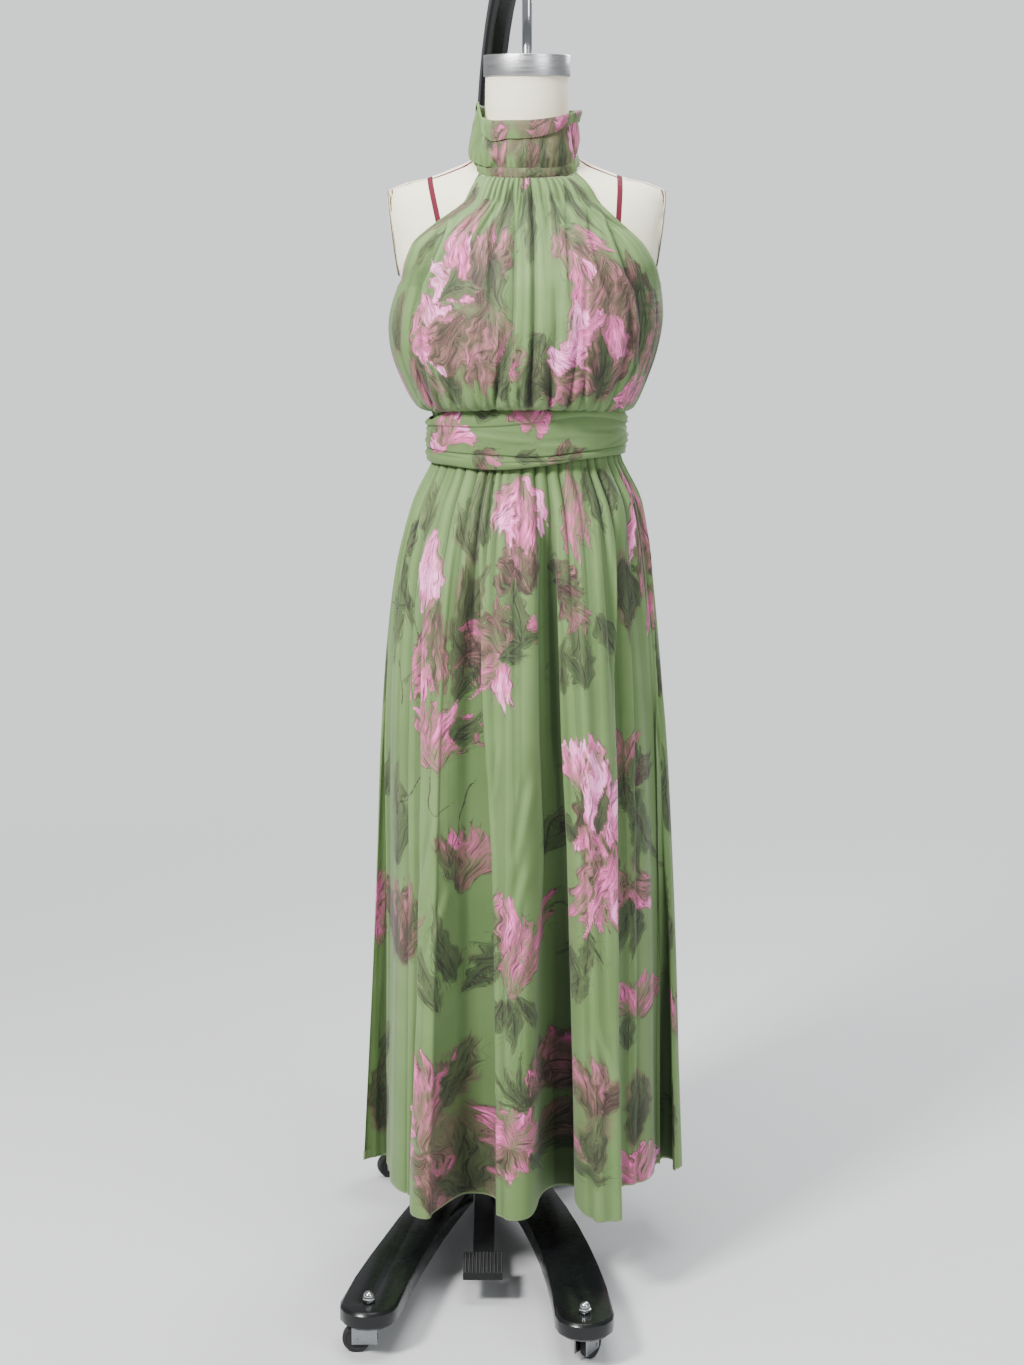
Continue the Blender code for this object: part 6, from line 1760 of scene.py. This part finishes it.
def print_and_fold_shade_group():
    """Colour of the printed cloth: green ground, brown washes, leaves, petals, pencilled lines,
    then painted shade in the folds and painted light on the crests.
    """
    nodes, given, result = new_group(
        "brushed_print",
        {"Lie": "Vector", "Shapes": "Vector", "Stroke": "Vector", "Tones": "Vector"},
        {"Color": "Color"},
    )
    plus, times, spread, centred = nodes.plus, nodes.times, nodes.spread, nodes.centred
    noise, blend, drawn_out = nodes.noise, nodes.blend, nodes.drawn_out
    petal, leaf, wash = nodes.parts(given["Shapes"])
    tone, stem, hollow = nodes.parts(given["Tones"])
    lie_there = given["Lie"]
    # brush strokes wander a little to either side
    sway = nodes.add("TexNoise", {"Vector": lie_there, "Scale": 40.0, "Detail": 2.0})
    shift = nodes.add(
        "VectorMath", {0: sway.outputs["Color"], 1: (0.5, 0.5, 0.5)}, operation="SUBTRACT"
    )
    stroke = nodes.add(
        "VectorMath",
        {0: shift.outputs[0], 1: (0.0026, 0.010, 0.0), 2: given["Stroke"]},
        operation="MULTIPLY_ADD",
    ).outputs[0]
    crossed = nodes.add("Mapping", {"Vector": stroke, "Rotation": (0.0, 0.0, 0.38)}).outputs[0]
    broad = noise(drawn_out(stroke, (150.0, 17.0, 1.0)), 1.0, 3.0, 0.6)
    bristles = noise(drawn_out(stroke, (440.0, 40.0, 1.7)), 1.0, 3.0, 0.6)
    hatching = noise(drawn_out(crossed, (330.0, 34.0, 2.3)), 1.0, 2.0, 0.55)
    pencil = noise(drawn_out(crossed, (360.0, 27.0, 2.9)), 1.0, 2.0)
    blot = noise(lie_there, 32.0, 4.0, 0.6)
    wide = noise(lie_there, 5.0, 3.0, 0.6)
    ragged = plus(centred(broad, 0.013), centred(bristles, 0.008), centred(blot, 0.010))
    near_any = nodes.larger(petal, leaf)
    ground = blend(spread(wide, 0.32, 0.68), GROUND_DEEP, GROUND_PALE)
    # brown and olive washes under the flowers, spreading out round them
    halo = spread(plus(near_any, centred(blot, 0.030)), -0.012, 0.004, 0.0, 0.62)
    patchy = plus(wash, halo, centred(blot, 1.1), centred(broad, 0.5))
    washed = spread(patchy, 0.45, 1.05, 0.0, 0.82)
    colour = blend(washed, ground, nodes.ramp(plus(broad, centred(blot, 0.5)), WASH_TONES))
    # leaves
    leafy = spread(plus(leaf, ragged), -0.0034, 0.0034, 0.0, 0.84)
    leaf_tone = plus(tone, centred(broad, 1.0), centred(bristles, 0.9), centred(blot, 0.5), 0.12)
    colour = blend(leafy, colour, nodes.ramp(leaf_tone, LEAF_TONES))
    # petals
    thin = spread(plus(blot, centred(broad, 0.7)), 0.32, 0.60, 0.60, 1.0)
    flowering = times(spread(plus(petal, ragged), -0.0036, 0.0040, 0.0, 0.96), thin)
    swings = ((broad, 0.90), (bristles, 0.62), (hatching, 0.62), (blot, 0.70))
    petal_tone = plus(tone, *(centred(value, size) for value, size in swings))
    colour = blend(flowering, colour, nodes.ramp(petal_tone, PETAL_TONES))
    # dark pencilled lines: along the strokes, broken round the petals and down the stems
    scribble = times(spread(pencil, 0.570, 0.630), spread(near_any, -0.014, 0.001))
    rims = nodes.larger(
        spread(nodes.size(plus(petal, ragged)), 0.0003, 0.0015, 0.85, 0.0),
        spread(nodes.size(plus(leaf, ragged)), 0.0003, 0.0016, 0.70, 0.0),
    )
    rims = times(rims, spread(bristles, 0.43, 0.56))
    veins = spread(nodes.size(plus(stem, centred(bristles, 0.0016))), 0.0005, 0.0014, 0.85, 0.0)
    veins = times(veins, spread(hatching, 0.40, 0.52, 0.25, 1.0))
    dark = nodes.larger(times(scribble, 0.70), nodes.larger(rims, veins))
    colour = blend(dark, colour, PENCIL)
    # painted shade where the cloth lies hollow in its folds, and painted light on its crests
    for depths, painted_shade_light in PAINTED_FOLD_SHADE_AND_LIGHT:
        colour = blend(spread(hollow, *depths), colour, painted_shade_light, "MULTIPLY")
    nodes.fill(result, {"Color": colour})
    return nodes.tree


def chiffon_finish():
    made, nodes, shader = new_material("printed_chiffon")
    fields = {
        socket: nodes.add("Attribute", attribute_name=name).outputs["Vector"]
        for socket, name in (
            ("Lie", "cloth_lie"),
            ("Shapes", "print_shapes"),
            ("Stroke", "print_stroke"),
            ("Tones", "print_tone"),
        )
    }
    printed = nodes.group(PRINT_AND_FOLD_SHADE, fields)
    down = nodes.parts(fields["Lie"])[1]
    # painted highlight: a paler line along the rolled hem, where its roll catches the light
    painted_hem_highlight = nodes.spread(down, SKIRT_LENGTH - 0.0035, SKIRT_LENGTH - 0.0015, 0.0, 0.55)
    looks = {
        "Base Color": nodes.blend(painted_hem_highlight, printed["Color"], HEM_HIGHLIGHT_COLOUR),
        "Roughness": 0.68,
        "Specular IOR Level": 0.35,
        "Sheen Weight": 0.12,
        "Sheen Roughness": 0.5,
    }
    nodes.fill(shader, looks)
    threads = woven(nodes, fields["Lie"], *CHIFFON_WEAVE)
    nodes.bump(shader, threads["Height"], 0.25, 0.0003)
    return made


HANDLING, THREADS, PRINT_AND_FOLD_SHADE = handling_group(), threads_group(), print_and_fold_shade_group()
CHIFFON, LINEN, PLATE = chiffon_finish(), linen_finish(), plate_finish()
CHROME = metal("chrome_plate", (0.54, 0.55, 0.57), 0.08, 0.22, 600.0)
ZINC = metal("zinc_plate", (0.26, 0.27, 0.285), 0.20, 0.36, 600.0)
BRUSHED = metal("brushed_cap", (0.60, 0.61, 0.62), 0.26, 0.46, 60.0, (1.0, 1.0, 40.0), 0.3)
# name, colour, dusty colour, smoothest, roughest, grain, coat, bump
BLACK, PEDAL, RUBBER = [
    black_finish(*row)
    for row in (
        ("black_paint", (0.0035, 0.0042, 0.0048), (0.0070, 0.0076, 0.0082),
         0.25, 0.29, 900.0, 0.15, 0.05),
        ("pedal_rubber", (0.006, 0.007, 0.007), (0.020, 0.020, 0.021),
         0.45, 0.60, 900.0, 0.0, 0.10),
        ("wheel_rubber", (0.020, 0.020, 0.021), (0.07, 0.068, 0.065),
         0.62, 0.80, 500.0, 0.0, 0.30),
    )
]
worn_ribs(PEDAL)

GARMENT = [front_skirt, back_skirt, front_bodice, back_bodice, sash, collar, neckband, *buttons]
# piece, body that it rides, node that it replaces, finish, slot
FINISHED = [
    (made, "raised", made.name.removesuffix("_cloth"), CHIFFON, "chiffon") for made in GARMENT
]
FINISHED += [
    (form, "raised", "form", LINEN, "linen"),
    (plates[0], "raised", "armhole_plate_left", PLATE, "linen"),
    (plates[1], "raised", "armhole_plate_right", PLATE, "linen"),
    (neck_cap, "raised", "neck_cap", BRUSHED, "brushed_cap"),
    (rod, "raised", "hanging_rod", CHROME, "chrome_rod"),
    (arm, "raised", "gantry_arm", BLACK, "black_paint"),
    (upright_sliding, "raised", "upright_sliding", BLACK, "black_paint"),
    (upright_fixed, "base_frame", "upright_fixed", BLACK, "black_paint"),
    (upright_socket, "base_frame", "upright_socket", BLACK, "black_paint"),
    (base, "base_frame", "base", BLACK, "black_paint"),
    (pedal, "pedal", "pedal", PEDAL, "black_paint"),
]
for corner in CORNERS:
    FINISHED += [
        (nuts[corner], "base_frame", f"nut_{corner}", CHROME, "steel_fork"),
        (forks[corner], f"fork_{corner}", f"fork_{corner}", ZINC, "steel_fork"),
        (wheels[corner], f"wheel_{corner}", f"wheel_{corner}", RUBBER, "wheel_rubber"),
    ]
for made, body, node_name, material, slot in FINISHED:
    made.data.materials.clear()
    made.data.materials.append(material)
    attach(made, body)
    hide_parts(node_name)

# ---------------------------------------------------------------- stage, camera and light
BACKDROP = {"Color": (0.80, 0.815, 0.83), "Strength": 1.45}


def mixed_into(nodes, end, share, first, second):
    """Mix two shaders into a tree's output node."""
    mixed = nodes.add("MixShader", {0: share, 1: first, 2: second})
    nodes.fill(nodes.tree.nodes[end], {"Surface": mixed.outputs[0]})


bpy.ops.mesh.primitive_plane_add(size=60.0, location=(0.0, 0.0, 0.0))
floor = bpy.context.object
floor.name = "pale_floor"
plain, nodes, shader = new_material("pale_floor")
nodes.fill(
    shader, {"Base Color": (0.58, 0.59, 0.60), "Roughness": 0.75, "Specular IOR Level": 0.2}
)
# far from the object the floor melts into the backdrop
distance = nodes.add("VectorMath", {0: nodes.place()}, operation="LENGTH").outputs["Value"]
from_camera = nodes.add("LightPath").outputs["Is Camera Ray"]
glow = nodes.add("Emission", BACKDROP).outputs[0]
seen = nodes.times(nodes.spread(distance, 0.8, 3.2), from_camera)
mixed_into(nodes, "Material Output", seen, shader.outputs[0], glow)
floor.data.materials.append(plain)

EYE_HEIGHT, EYE_DISTANCE, EYE_ASIDE, TILT_DEG = 1.56, 3.40, 0.0198, 11.9
FOCAL_PIXELS, PICTURE_TALL = 2500.0, 1365.0
eye = bpy.data.cameras.new("eye")
eye.sensor_fit, eye.sensor_width = "AUTO", 36.0
eye.lens = FOCAL_PIXELS / PICTURE_TALL * eye.sensor_width
camera = bpy.data.objects.new("eye", eye)
camera.location = (AXIS[0] - EYE_ASIDE, AXIS[1] - EYE_DISTANCE, EYE_HEIGHT)
camera.rotation_euler = (math.radians(90.0 - TILT_DEG), 0.0, 0.0)
bpy.context.scene.collection.objects.link(camera)
bpy.context.scene.camera = camera

for name, place, target_z, size, power, colour in (
    ("key", (-1.9, -2.2, 3.3), 1.2, 0.75, 262.0, (1.0, 0.985, 0.955)),
    ("fill", (2.3, -2.7, 2.4), 1.2, 1.6, 50.0, (0.96, 0.98, 1.0)),
    ("rear", (1.8, 3.0, 2.8), 1.1, 1.6, 130.0, (1.0, 1.0, 1.0)),
    ("overhead", (0.0, -0.3, 3.9), 0.0, 1.8, 130.0, (1.0, 1.0, 1.0)),
):
    light = bpy.data.lights.new(name, "AREA")
    light.shape, light.size, light.size_y = "RECTANGLE", size, size
    light.energy, light.color = power, colour
    lamp = bpy.data.objects.new(name, light)
    lamp.location = place
    aim = Vector((0.0, 0.0, target_z)) - Vector(place)
    lamp.rotation_euler = aim.to_track_quat("-Z", "Y").to_euler()
    bpy.context.scene.collection.objects.link(lamp)

world = bpy.data.worlds.new("studio")
world.use_nodes = True
nodes = Nodes(world.node_tree)
ambient = world.node_tree.nodes["Background"]
nodes.fill(ambient, {"Color": (0.74, 0.76, 0.78), "Strength": 0.54})
from_camera = nodes.add("LightPath").outputs["Is Camera Ray"]
backdrop = nodes.add("Background", BACKDROP).outputs[0]
mixed_into(nodes, "World Output", from_camera, ambient.outputs[0], backdrop)
bpy.context.scene.world = world
